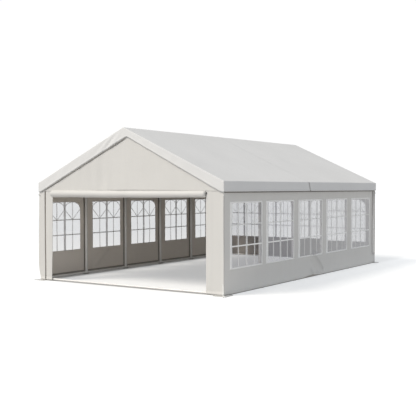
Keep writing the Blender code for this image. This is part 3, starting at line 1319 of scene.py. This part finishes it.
    def rake_patch(self) -> Patch:
        """Lay the valance down the rake, from the roof's edge to its hem.

        Returns:
            The patch.
        """
        lines = self.across_lines()
        x = lines[np.abs(lines) <= SLOPE_RUN + 1e-6] * math.cos(SLOPE)
        across, down = np.meshgrid(x, self.drop_lines() / self.valance)
        z = roof_height(x) * (1.0 - down) + self.rake_hem(x) * down
        fade = unit((COVER_X - np.abs(across)) / 0.3)
        waves = Ripples(0.004, 0.5, 53 + self.end, upright=1.0).at(across, z) * fade
        out = (down * (self.rake_flare * fade + waves)
               + self.gathers(across, z) * np.sin(math.pi * unit(down)) ** 0.5
               + 0.0003 * (down > 1.0 - self.hem_band / self.valance) * fade)
        points = np.stack([across, self.end * (COVER_Y + out), z], -1)
        return Patch(points, np.stack([across, z], -1), None, self.facing is Facing.FRONT)

    def round_folds(self, mesh: Mesh) -> None:
        """Round the cloth over the ridge, the eaves and the rake.

        Args:
            mesh: the cover's mesh.
        """
        work = bmesh.new()
        work.from_mesh(mesh)
        near = self.fold * 0.9
        chosen = []
        for point in work.verts:
            x, y, z = abs(point.co.x), abs(point.co.y), point.co.z
            at_ridge = x < near
            at_eave = abs(x - COVER_X) < near and abs(z - EAVE_Z) < near
            at_rake = COVER_Y - y < near and abs(z - roof_height(x)) < near
            at_corner = COVER_Y - y < near and COVER_X - x < near
            if (at_ridge or at_eave or at_rake or at_corner) and not point.is_boundary:
                chosen.append(point)
        for _ in range(5):
            bmesh.ops.smooth_vert(work, verts=chosen, factor=0.5, use_axis_x=True, use_axis_y=True,
                                  use_axis_z=True)
        work.to_mesh(mesh)
        work.free()

    def build(self) -> None:
        """Add the half cover."""
        label = self.facing.name.lower()
        mesh = build_mesh(f"{label}_roof", [self.cover_patch(), self.rake_patch()])
        self.round_folds(mesh)
        cover = add_piece(mesh, [self.finishes.roof, self.finishes.lining], Slot.ROOF,
                          [f"roof_cover_{label}"], thickness=SHEET)


@dataclass
class FrontGable(Assembly):
    """The cloth panel over the doorway, with a narrow gap along its left edge where it is laced on."""

    head_z: float = 2.045
    face: float = 4.003
    roof_clear: float = 0.026
    grid: float = 0.06
    gap: float = 0.016
    gap_low: float = -2.43
    gap_high: float = 0.05

    def build(self) -> None:
        """Add the panel."""
        creases = [Crease((-0.60, 2.20), (-0.64, 2.70), -0.006, 0.08),
                   Crease((-0.80, 2.15), (-0.78, 2.65), 0.005, 0.07),
                   Crease((-0.41, 2.20), (-0.40, 2.80), 0.004, 0.08)]
        ripples = [Ripples(0.0020, 0.9, 61), Ripples(0.0012, 0.30, 67, upright=0.9)]
        panel = Panel("gable_panel", Facing.FRONT, self.face, ripples, creases, foot_z=-1.0)
        columns = grid_lines([-HALF_W, self.gap_low - 0.01, self.gap_low + 0.02, self.gap_high - 0.02,
                              self.gap_high + 0.03, HALF_W], self.grid)
        top = roof_height(columns) - self.roof_clear
        hem = RoofHalf(self.finishes, Facing.FRONT).rake_hem(np.clip(columns, -2.39, 0.08)) - self.gap / 2
        under = np.clip(hem, self.head_z + 0.01, top - 0.01)
        below = under - self.gap * ((columns > self.gap_low) & (columns < self.gap_high))
        shares = grid_lines([0.0, 1.0], self.grid / (RIDGE_Z - self.head_z))
        gable = self.cloth(panel.name, [panel.between(columns, self.head_z, below, shares),
                                        panel.between(columns, under, top, np.linspace(0.0, 1.0, 7))],
                           "front_gable")


@dataclass
class DoorRoll(Assembly):
    """The front door, rolled up under the gable panel as one wound sheet."""

    turns: float = 5.4
    core: float = 0.018
    grid: float = 0.05
    turn_steps: int = 22
    sag: float = 0.0072
    swell: float = 0.018
    fill: float = 0.94
    tip_share: float = 0.62
    tip: float = 0.05

    def build(self) -> None:
        """Add the roll."""
        low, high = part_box("door_roll")
        middle = centre("door_roll")
        near = [0.01, 0.03, self.tip]
        x = grid_lines([low.x, *(low.x + step for step in near), *(high.x - step for step in reversed(near)),
                        high.x], self.grid)
        turn = np.linspace(0.0, 2 * math.pi * self.turns, int(self.turns * self.turn_steps) + 1)
        along, wound = np.meshgrid(x, turn / turn[-1])
        angle = np.broadcast_to(turn[:, None], along.shape)
        span = (along - low.x) / (high.x - low.x)
        uneven = 1.0 + 0.03 * Ripples(1.0, 0.8, 71).at(along, angle * 0.08) * wound
        outer = (high.z - low.z) / 2 * self.fill + self.swell * (0.5 - span)
        tip = unit(np.minimum(along - low.x, high.x - along) / self.tip)
        reach = (self.core + (outer - self.core) * wound) * uneven
        reach = reach * (self.tip_share + (1.0 - self.tip_share) * np.sin(tip * math.pi / 2) ** 0.7)
        heading = math.pi * 0.62 - angle[::-1]
        y = middle.y - reach * np.cos(heading)
        z = middle.z - reach * np.sin(heading) * 0.97 - self.sag * np.sin(math.pi * span)
        shift = 0.006 * Ripples(1.0, 0.25, 73).at(angle * 0.05, angle * 0.0)
        points = np.stack([along + shift * np.cos(math.pi * span), y, z], -1)
        length = float(np.sum(np.hypot(*(np.diff(line[:, len(x) // 2]) for line in (y, z)))))
        roll = self.cloth("rolled_door", [Patch(points, np.stack([along, wound * length], -1), None, True)],
                          "door_roll")


@dataclass
class DoorStrips(Assembly):
    """The cloth strips beside the doorway; a bulge is an edge's (height, distance off its straight line)."""

    top_z: float = 2.10
    grid: float = 0.05
    edge_band: float = 0.018
    flap_bulge: tuple[Flat, ...] = ((0.0, -0.026), (0.06, -0.022), (0.20, 0.015), (0.36, 0.038),
                                    (0.70, 0.036), (1.16, 0.027), (1.85, 0.010), (2.10, 0.006))
    strip_bulge: tuple[Flat, ...] = ((0.0, 0.0), (0.36, 0.004), (0.70, 0.024), (1.16, 0.032),
                                     (1.85, 0.038), (2.10, 0.040))

    def build(self) -> None:
        """Add the corner flap, the strip beside it and the right strip."""
        edges = {"front_flap_left": (-HALF_W - 0.012, None), "front_strip_left": (None, None),
                 "front_strip_right": (None, HALF_W + 0.004)}
        for number, (node, (left, right)) in enumerate(edges.items()):
            low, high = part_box(node)
            start = low.x if left is None else left
            end = high.x if right is None else right
            ripples = [Ripples(0.0022, 0.7, 81 + number, 0.6), Ripples(0.0016, 0.16, 91 + number, 1.0)]
            panel = Panel(f"{node}_cloth", Facing.FRONT, HALF_L, ripples)
            columns = grid_lines([start, start + self.edge_band, end - self.edge_band, end], self.grid / 2)
            rows = grid_lines([*panel.hem_lines(low.z), self.top_z], self.grid)
            patch = panel.patch(columns, rows[:, None])
            share = (columns - start) / (end - start)
            if node == "front_flap_left":
                patch.points[..., 0] -= np.interp(rows, *zip(*self.flap_bulge))[:, None] * (1.0 - share)
            if node == "front_strip_left":
                patch.points[..., 0] += np.interp(rows, *zip(*self.strip_bulge))[:, None] * share
            piece = self.cloth(panel.name, [patch], node)


def around(radius: float, turn: float) -> Flat:
    """Return a point of a circle round the origin."""
    return radius * math.cos(turn), radius * math.sin(turn)


class TubeWork:
    """Collects tubes, sleeves and screws in one mesh."""

    def __init__(self) -> None:
        """Start empty."""
        self.work = bmesh.new()

    def lathe(self, start: Vector, way: Vector, profile: Sequence[Span], sides: int = 24) -> None:
        """Turn a profile round an axis.

        Args:
            start: the axis's first point.
            way: its direction.
            profile: (distance along the axis, radius) from end to end, closed with a radius of 0.
            sides: how many sides a ring has.
        """
        matrix = Matrix.Translation(start) @ way.to_track_quat('Z', 'Y').to_matrix().to_4x4()
        rings = []
        for distance, radius in profile:
            turns = [2 * math.pi * n / sides for n in range(sides if radius else 1)]
            rings.append([self.work.verts.new(matrix @ Vector((*around(radius, turn), distance)))
                          for turn in turns])
        for below, above in zip(rings, rings[1:]):
            for n in range(sides):
                ring = [below[n % len(below)], below[(n + 1) % len(below)], above[(n + 1) % len(above)],
                        above[n % len(above)]]
                corners = list(dict.fromkeys(ring))
                if len(corners) > 2:
                    self.work.faces.new(corners)

    def drum(self, start: Vector, way: Vector, profile: Sequence[Span], sides: int = 24) -> None:
        """Turn a profile that a flat face closes at each end."""
        self.lathe(start, way, [(profile[0][0], 0.0), *profile, (profile[-1][0], 0.0)], sides)

    def link(self, start: Place | Vector, end: Place | Vector, near: Sequence[Span]) -> None:
        """Turn a tube between two points whose ends mirror each other.

        Args:
            start: the first end's middle.
            end: the other end's middle.
            near: (distance from the end, radius) along the first end.
        """
        way = Vector(end) - Vector(start)
        far = [(way.length - distance, radius) for distance, radius in reversed(near)]
        self.drum(Vector(start), way, [*near, *far])

    def tube(self, start: Place | Vector, end: Place | Vector, radius: float, edge: float = 0.002) -> None:
        """Add a closed tube with bevelled ends between two points."""
        self.link(start, end, [(0.0, radius - edge), (edge, radius)])

    def sleeve(self, start: Place, end: Place, radius: float, lip: float = 0.0022) -> None:
        """Add a sleeve between two points, with a rolled lip at each end that stands out by so much."""
        wide = radius + lip
        self.link(start, end, [(0.0, radius), (0.001, wide), (0.006, wide), (0.009, radius)])

    def screw(self, place: Vector, way: Vector, size: float = 0.008) -> None:
        """Add a hexagon head on a washer.

        Args:
            place: where it goes in.
            way: the direction in which it stands out.
            size: about the head's radius.
        """
        washer, head = size * 1.3, size * 0.9
        self.drum(place, way, [(-0.004, washer), (0.0015, washer)], 18)
        self.drum(place, way, [(0.0015, head), (0.0065, head), (0.0075, size * 0.75)], 6)

    def ball(self, middle: Vector, radius: float, way: Vector) -> None:
        """Add a ball with a short neck.

        Args:
            middle: the ball's middle.
            radius: its radius.
            way: the direction away from the neck.
        """
        turns = [math.pi * n / 10 for n in range(1, 10)]
        rings = [(radius * (1.0 - math.cos(turn)), radius * math.sin(turn)) for turn in turns]
        self.lathe(middle - way.normalized() * radius, way, [(0.0, 0.0), *rings, (2 * radius, 0.0)], 16)
        self.drum(middle - way.normalized() * radius * 1.9, way,
                  [(0.0, radius * 0.28), (radius, radius * 0.28)], 10)

    def mesh(self, name: str) -> Mesh:
        """Close the work.

        Args:
            name: the mesh's name.

        Returns:
            What was collected, as a mesh.
        """
        made = bpy.data.meshes.new(name)
        bmesh.ops.recalc_face_normals(self.work, faces=self.work.faces)
        self.work.to_mesh(made)
        self.work.free()
        return made


@dataclass
class TubeFrame(Assembly):
    """Posts, rails and rafters with rolled ends, lipped sleeves, screws and plates."""

    rail_r: float = 0.025
    rail_z: float = 0.035
    ground_r: float = 0.020
    sleeve_reach: float = 0.14
    joint_reach: float = 0.11
    elbow_reach: float = 0.12
    sleeve_wall: float = 0.003
    foot_top: float = 0.12
    foot_screw_z: float = 0.095
    foot_r: float = 0.083
    elbow_low: float = 2.08
    elbow_screw_z: float = 2.115
    rafter_depth: float = 0.0103 + SLEEVE_R
    overlap: float = 0.02
    plate_t: float = 0.008
    plate_bevel: float = 0.001
    plate_corner: float = 0.018
    hole_r: float = 0.009
    hole_inset: float = 0.035
    crease_deg: float = 40.0

    @property
    def frames(self) -> list[float]:
        """Each frame's place along the tent."""
        return [centre(f"post_left_{number}").y for number in FRAMES]

    @property
    def post_x(self) -> float:
        """How far the posts stand from the middle."""
        return centre("post_right_1").x

    @property
    def rafter_run(self) -> float:
        """Distance on the slope from the eave's axis to the ridge's."""
        return self.post_x / math.cos(SLOPE)

    def slope_point(self, side: int, distance: float, y: float = 0.0) -> Place:
        """Return a point on a rafter's axis in a frame, at a distance from the eave's axis."""
        eave = roof_height(self.post_x) - self.rafter_depth / math.cos(SLOPE)
        return side * (self.post_x - distance * math.cos(SLOPE)), y, eave + distance * math.sin(SLOPE)

    def add(self, work: TubeWork, name: str, node: str) -> None:
        """Add collected tubes as the piece that stands for a node."""
        add_piece(work.mesh(name), [self.finishes.steel], Slot.STEEL, [node], self.crease_deg)

    def rail(self, x: float, z: float) -> TubeWork:
        """Start a rail from the first frame to the last.

        Args:
            x: its place across the tent.
            z: its height.

        Returns:
            The work, with its tube.
        """
        work = TubeWork()
        work.tube((x, self.frames[0], z), (x, self.frames[-1], z), self.rail_r)
        return work

    def joint(self, work: TubeWork, place: Place, reach: float, radius: float, screw_z: float) -> None:
        """Add a side rail's sleeves before and behind a frame, and the screw in its post's sleeve.

        Args:
            work: the rail.
            place: where the frame meets it.
            reach: the sleeves' length.
            radius: their radius.
            screw_z: the screw's height.
        """
        x, y, z = place
        for way in (-1, 1):
            if abs(y + way * 0.1) < HALF_L:
                work.sleeve(place, (x, y + way * reach, z), radius)
        inward = -math.copysign(1.0, x)
        work.screw(Vector((x + inward * (SLEEVE_R + 0.001), y, screw_z)), Vector((inward, 0.0, 0.0)))

    def build_uprights(self) -> None:
        """Add the posts and the rafters."""
        for side, _ in SIDES:
            for number in FRAMES:
                node = f"post_{side}_{number}"
                low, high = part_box(node)
                x, y, _ = centre(node)
                work = TubeWork()
                work.tube((x, y, low.z - self.overlap), (x, y, high.z + self.overlap), (high.x - low.x) / 2)
                self.add(work, f"{side}_post_{number}", node)
        inset = self.sleeve_reach - self.overlap
        for side, sign in SIDES:
            for number, y in enumerate(self.frames, start=1):
                work = TubeWork()
                ends = (self.slope_point(sign, place, y) for place in (inset, self.rafter_run - inset))
                work.tube(*ends, self.rail_r)
                self.add(work, f"{side}_rafter_{number}", f"rafter_{side}_{number}")

    def build_base(self) -> None:
        """Add the base rails with their sleeves and small plates, the end bars and the corner plates."""
        frames = self.frames
        plate = [(0.0, self.foot_r), (0.006, self.foot_r), (self.plate_t, self.foot_r - 0.002)]
        for side, sign in SIDES:
            x, z = sign * self.post_x, self.rail_z
            work = self.rail(x, z)
            for y in frames:
                work.sleeve((x, y, self.plate_t / 2), (x, y, self.foot_top), SLEEVE_R)
                self.joint(work, (x, y, z), self.joint_reach, self.rail_r + self.sleeve_wall,
                           self.foot_screw_z)
                if y not in (frames[0], frames[-1]):
                    work.drum(Vector((x, y, 0.0)), Vector(UP), plate, 4)
            self.add(work, f"{side}_base_rail", f"base_rail_{side}")
        for end in ("front", "rear"):
            low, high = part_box(f"base_rail_{end}")
            _, y, z = centre(f"base_rail_{end}")
            work = TubeWork()
            work.tube((low.x, y, z), (high.x, y, z), self.ground_r)
            for edge, inward in ((low.x, 1), (high.x, -1)):
                work.sleeve((edge, y, z), (edge + inward * self.joint_reach, y, z),
                            self.ground_r + self.sleeve_wall)
            self.add(work, f"{end}_base_rail", f"base_rail_{end}")
            for side, _ in SIDES:
                self.build_corner_plate(f"corner_plate_{end}_{side}")

    def build_corner_plate(self, node: str) -> None:
        """Add a corner plate with round corners and four screw holes.

        Args:
            node: the plate's node.
        """
        low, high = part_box(node)
        half = (high.x - low.x) / 2
        reach = half - self.plate_corner - self.plate_bevel
        curve = bpy.data.curves.new(f"{node}_cut", 'CURVE')
        curve.dimensions = '2D'
        curve.fill_mode = 'BOTH'
        curve.extrude = self.plate_t / 2 - self.plate_bevel
        curve.bevel_depth = self.plate_bevel
        corners = ((1, 1), (-1, 1), (-1, -1), (1, -1))
        outline = [np.multiply(corner, reach) + around(self.plate_corner, turn)
                   for quarter, corner in enumerate(corners)
                   for turn in np.linspace(quarter * math.pi / 2, (quarter + 1) * math.pi / 2, 6)]
        holes = [[np.multiply(corner, half - self.hole_inset) + around(self.hole_r, turn)
                  for turn in np.linspace(0.0, 2 * math.pi, 16, endpoint=False)]
                 for corner in sorted(corners)]
        for points in (outline, *holes):
            spline = curve.splines.new('POLY')
            spline.points.add(len(points) - 1)
            for point, (x, y) in zip(spline.points, points):
                point.co = (x, y, 0.0, 1.0)
            spline.use_cyclic_u = True
        shape = put(curve.name, curve)
        bpy.context.view_layer.update()
        mesh = bpy.data.meshes.new_from_object(shape.evaluated_get(bpy.context.evaluated_depsgraph_get()))
        bpy.data.objects.remove(shape, do_unlink=True)
        bpy.data.curves.remove(curve)
        mesh.name = f"{node}_cut"
        mesh.transform(Matrix.Translation(centre(node)))
        mesh.materials.clear()
        add_piece(mesh, [self.finishes.steel], Slot.STEEL, [node], self.crease_deg)

    def build_eaves(self) -> None:
        """Add the eaves rails with their elbows."""
        for side, sign in SIDES:
            x, _, z = self.slope_point(sign, 0.0)
            work = self.rail(x, z)
            for y in self.frames:
                work.sleeve((x, y, z), (x, y, self.elbow_low), SLEEVE_R)
                work.sleeve((x, y, z), self.slope_point(sign, self.sleeve_reach, y), SLEEVE_R)
                self.joint(work, (x, y, z), self.elbow_reach, SLEEVE_R - self.sleeve_wall, self.elbow_screw_z)
            self.add(work, f"{side}_eaves_rail", f"eaves_rail_{side}")

    def build_ridge(self) -> None:
        """Add the ridge rail with its sleeves."""
        first, *_, last = self.frames
        z = self.slope_point(1, self.rafter_run)[2]
        cap, reach = SLEEVE_R - 0.001, self.sleeve_reach / 2
        work = self.rail(0.0, z)
        for y in self.frames:
            low, high = np.clip([y - reach, y + reach], first - cap, last + cap)
            work.sleeve((0.0, low, z), (0.0, high, z), SLEEVE_R - 0.0025)
            for _, sign in SIDES:
                tip = self.slope_point(sign, self.rafter_run - self.sleeve_reach, y)
                work.sleeve((0.0, y, z), tip, SLEEVE_R)
                below = Vector((-sign * math.sin(SLOPE), 0.0, -math.cos(SLOPE)))
                near = self.slope_point(sign, self.rafter_run - self.sleeve_reach + 0.03, y)
                work.screw(Vector(near) + below * (SLEEVE_R + 0.001), below)
        self.add(work, "ridge_tube", "ridge_rail")

    def build(self) -> None:
        """Add the whole frame."""
        self.build_uprights()
        self.build_base()
        self.build_eaves()
        self.build_ridge()


@dataclass
class Fastenings(Assembly):
    """Ball ties at the corners, the toggles that hold the roll and the tie to a peg at the front right."""

    ball_r: float = 0.014
    ball_z: float = 1.962
    toggle_z: float = 1.984
    tie_top: Place = (-0.006, -0.016, 0.235)
    tie_foot: Place = (0.105, -0.185, 0.014)
    tie_r: float = 0.0065
    peg_r: float = 0.005
    crease_deg: float = 50.0

    def add(self, work: TubeWork, name: str, material: Material) -> None:
        """Add collected small parts as a piece."""
        add_piece(work.mesh(name), [material], Slot.STEEL, crease_deg=self.crease_deg)

    def build(self) -> None:
        """Add the ties."""
        balls = TubeWork()
        for x, y in ((-1, -1), (-1, 1), (1, -1), (1, 1)):
            balls.ball(Vector((x * (HALF_W + 0.012), y * (HALF_L + 0.020), self.ball_z)), self.ball_r,
                       Vector((0.3 * x, y, 0.0)))
        self.add(balls, "corner_balls", self.finishes.ball)
        toggles = TubeWork()
        low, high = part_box("door_roll")
        for x in (low.x - 0.020, high.x + 0.018):
            toggles.drum(Vector((x, -HALF_L - 0.006, self.toggle_z)), Vector(UP),
                         [(0.0, 0.007), (0.006, 0.011), (0.022, 0.008), (0.038, 0.011), (0.044, 0.007)], 16)
        self.add(toggles, "roll_toggles", self.finishes.toggle)
        self.build_tie()

    def build_tie(self) -> None:
        """Add the doubled taut tie from the front right corner down to a peg in front of it."""
        corner = Vector((HALF_W, -HALF_L, 0.0))
        top, foot = corner + Vector(self.tie_top), corner + Vector(self.tie_foot)
        apart = (foot - top).cross(Vector(UP)).normalized() * self.tie_r * 1.25
        tie, peg = TubeWork(), TubeWork()
        for side in (-1, 1):
            tie.tube(top + apart * side, foot + apart * side, self.tie_r)
        tie.ball(top, self.ball_r, Vector((0.2, -1.0, 0.0)))
        self.add(tie, "corner_tie", self.finishes.ball)
        for start, end in (((0.004, -0.004, -0.013), (0.010, -0.010, 0.022)),
                           ((0.006, -0.006, 0.019), (0.040, 0.004, 0.014))):
            peg.tube(foot + Vector(start), foot + Vector(end), self.peg_r, 0.001)
        self.add(peg, "corner_peg", self.finishes.steel)


@dataclass(frozen=True)
class Studio:
    """Floor, sky, sun and camera."""

    place: Place = (10.320, -16.400, 2.095)
    yaw_deg: float = 33.424
    pitch_deg: float = 1.470
    roll_deg: float = -0.110
    focal_px: float = 756.018
    picture_px: float = 416.0
    sensor_mm: float = 36.0
    clip_end: float = 2000.0
    sky: float = 0.548
    sky_colour: Colour = (0.95, 0.985, 1.03)
    backdrop: float = 1.02
    sun: float = 2.51
    sun_colour: Colour = (1.0, 0.94, 0.85)
    sun_way: Place = (-0.35, -0.45, 0.60)
    sun_width_deg: float = 24.0
    side_glow: float = 0.38
    side_reach: float = 1.1
    shade_lift: float = 0.10
    floor_glow: float = 0.47
    inner_glow: float = 0.385
    far_glow: float = 1.05
    fade_start: float = 4.6
    fade_end: float = 20.0
    door_reach: float = 2.4
    wall_edge: Span = (0.06, 0.02)
    wall_shade: Span = (0.30, 0.10)
    wall_share: float = 0.12
    bar_y: float = 0.12
    bar_band: Span = (0.12, 0.16)
    bar_share: float = 0.15
    lift_start: float = -3.0
    floor_colour: float = 0.62
    floor_reach: float = 600.0

    def build_camera(self) -> None:
        """Add the camera where the photograph was taken."""
        yaw, pitch, roll = (math.radians(value) for value in (self.yaw_deg, self.pitch_deg, self.roll_deg))
        ahead = Vector((-math.sin(yaw) * math.cos(pitch), math.cos(yaw) * math.cos(pitch), -math.sin(pitch)))
        level = Vector((math.cos(yaw), math.sin(yaw), 0.0))
        right = level * math.cos(roll) + level.cross(ahead) * math.sin(roll)
        lens = bpy.data.cameras.new("camera")
        lens.sensor_width = self.sensor_mm
        lens.lens = self.focal_px / self.picture_px * self.sensor_mm
        lens.clip_end = self.clip_end
        camera = put("camera", lens)
        turn = Matrix((right, right.cross(ahead), -ahead)).transposed().to_4x4()
        camera.matrix_world = Matrix.Translation(self.place) @ turn
        bpy.context.scene.camera = camera

    def build_light(self) -> None:
        """Add the even sky and the wide sun from the front left."""
        recipe = Recipe(bpy.data.worlds.new("sky"))
        recipe.tree.nodes.clear()
        lit = recipe.add("Background", Color=(*self.sky_colour, 1.0), Strength=self.sky)
        shown = recipe.add("Background", Color=(1.0, 1.0, 1.0, 1.0), Strength=self.backdrop)
        seen = recipe.add("LightPath").outputs["Is Camera Ray"]
        recipe.add("OutputWorld", Surface=recipe.join("MixShader", seen, lit.outputs[0], shown.outputs[0]))
        bpy.context.scene.world = recipe.owner
        lamp = bpy.data.lights.new("sun", 'SUN')
        lamp.energy = self.sun
        lamp.angle = math.radians(self.sun_width_deg)
        lamp.color = self.sun_colour
        sun = put("sun", lamp)
        sun.rotation_mode = 'QUATERNION'
        sun.rotation_quaternion = Vector(self.sun_way).to_track_quat('Z', 'Y')

    def floor_glow_at(self, recipe: Recipe, x: Socket, y: Socket) -> Socket:
        """Work out the near floor's glow: painted shade in the tent, along its walls and behind the front
        bar, and painted light on the shadow beside the right wall.

        Args:
            recipe: the floor's nodes.
            x: places across the tent.
            y: places along it.

        Returns:
            The glow.
        """
        off = recipe.maths("ABSOLUTE", x)
        inner, outer = self.wall_edge
        start, end = (HALF_W - reach for reach in self.wall_shade)
        side = recipe.ramp(off, HALF_W - inner, HALF_W + outer, 1.0, 0.0)
        rear = recipe.ramp(y, HALF_L - inner, HALF_L + outer, 1.0, 0.0)
        front = recipe.maths("POWER", recipe.ramp(y, -HALF_L, self.door_reach - HALF_L, 0.0, 1.0), 0.5)
        inside = recipe.product(side, rear, front)
        # Painted shade along the foot of the walls and at the edge of the inside
        by_wall = recipe.maths("MAXIMUM", recipe.ramp(off, start, end, 1.0, self.wall_share),
                               recipe.ramp(inside, 0.0, 0.02, 1.0, 0.0))
        # Painted shadow line behind the front bar
        past_bar = recipe.maths("ABSOLUTE", recipe.maths("ADD", y, HALF_L - self.bar_y))
        by_bar = recipe.maths("MAXIMUM", recipe.ramp(past_bar, *self.bar_band, self.bar_share, 1.0),
                              recipe.ramp(off, HALF_W - 0.1, HALF_W, 0.0, 1.0))
        # Painted light that lifts the tent's shadow on the right
        lift = recipe.product(recipe.ramp(x, HALF_W, HALF_W + 0.3, 0.0, 1.0),
                              recipe.ramp(y, self.lift_start, HALF_L, 0.0, self.shade_lift))
        # Painted shade: the floor glows less inside the tent
        near = recipe.ramp(inside, 0.0, 1.0, self.floor_glow, self.inner_glow)
        return recipe.maths("ADD", recipe.product(near, recipe.product(by_wall, by_bar)), lift)

    def build_floor(self) -> None:
        """Add the pale floor, which glows a little to the camera so that it meets the white sky.

        What it throws back on the tent is even, with a brighter strip beside the right wall."""
        work = bmesh.new()
        bmesh.ops.create_grid(work, x_segments=8, y_segments=8, size=self.floor_reach)
        mesh = bpy.data.meshes.new("floor")
        work.to_mesh(mesh)
        work.free()
        recipe = Recipe(bpy.data.materials.new("floor"))
        recipe.tree.nodes.remove(recipe.shader)
        x, y, _ = recipe.axes(recipe.place)
        away = recipe.add("VectorMath", {"operation": 'LENGTH'}, Vector=recipe.place).outputs["Value"]
        far = recipe.ramp(away, self.fade_start, self.fade_end, 0.0, 1.0)
        strength = recipe.maths("ADD", recipe.product(far, self.far_glow - self.floor_glow),
                                self.floor_glow_at(recipe, x, y))
        tone = recipe.blend(recipe.patchy(0.35), (0.60, 0.60, 0.60), (0.62, 0.62, 0.62))
        shown = recipe.join("AddShader", recipe.join("Emission", (0.975, 0.99, 1.0, 1.0), strength),
                            recipe.join("BsdfDiffuse", recipe.blend(far, tone, BLACK)))
        # Painted light: a strip beside the right wall glows onto the tent, but not to the camera
        strip = recipe.product(recipe.ramp(x, HALF_W, HALF_W + self.side_reach, 1.0, 0.0),
                               recipe.ramp(x, HALF_W, HALF_W + 0.02, 0.0, 1.0))
        bounce = recipe.product(strip, recipe.ramp(y, -HALF_L, HALF_L, 0.85, 1.2), self.side_glow)
        thrown = recipe.join("AddShader", recipe.join("BsdfDiffuse", (self.floor_colour,) * 3 + (1.0,)),
                             recipe.join("Emission", (0.97, 0.99, 1.0, 1.0), bounce))
        seen = recipe.add("LightPath").outputs["Is Camera Ray"]
        surface = recipe.tree.nodes["Material Output"].inputs["Surface"]
        recipe.feed(surface, recipe.join("MixShader", seen, thrown, shown))
        mesh.materials.append(recipe.owner)
        put("floor", mesh)

    def build(self) -> None:
        """Add everything round the tent."""
        self.build_camera()
        self.build_light()
        self.build_floor()
        bpy.context.scene.view_settings.view_transform = 'Standard'


def main() -> None:
    """Build the tent and its studio."""
    logging.basicConfig(level=logging.INFO, format="%(message)s")
    finishes = Finishes()
    Studio().build()
    TubeFrame(finishes).build()
    for facing in (Facing.LEFT, Facing.RIGHT):
        SideWall(finishes, facing).build()
    RearWall(finishes).build()
    for facing in (Facing.FRONT, Facing.REAR):
        RoofHalf(finishes, facing).build()
    for assembly in (FrontGable, DoorRoll, DoorStrips, Fastenings):
        assembly(finishes).build()


if __name__ == "__main__":
    main()
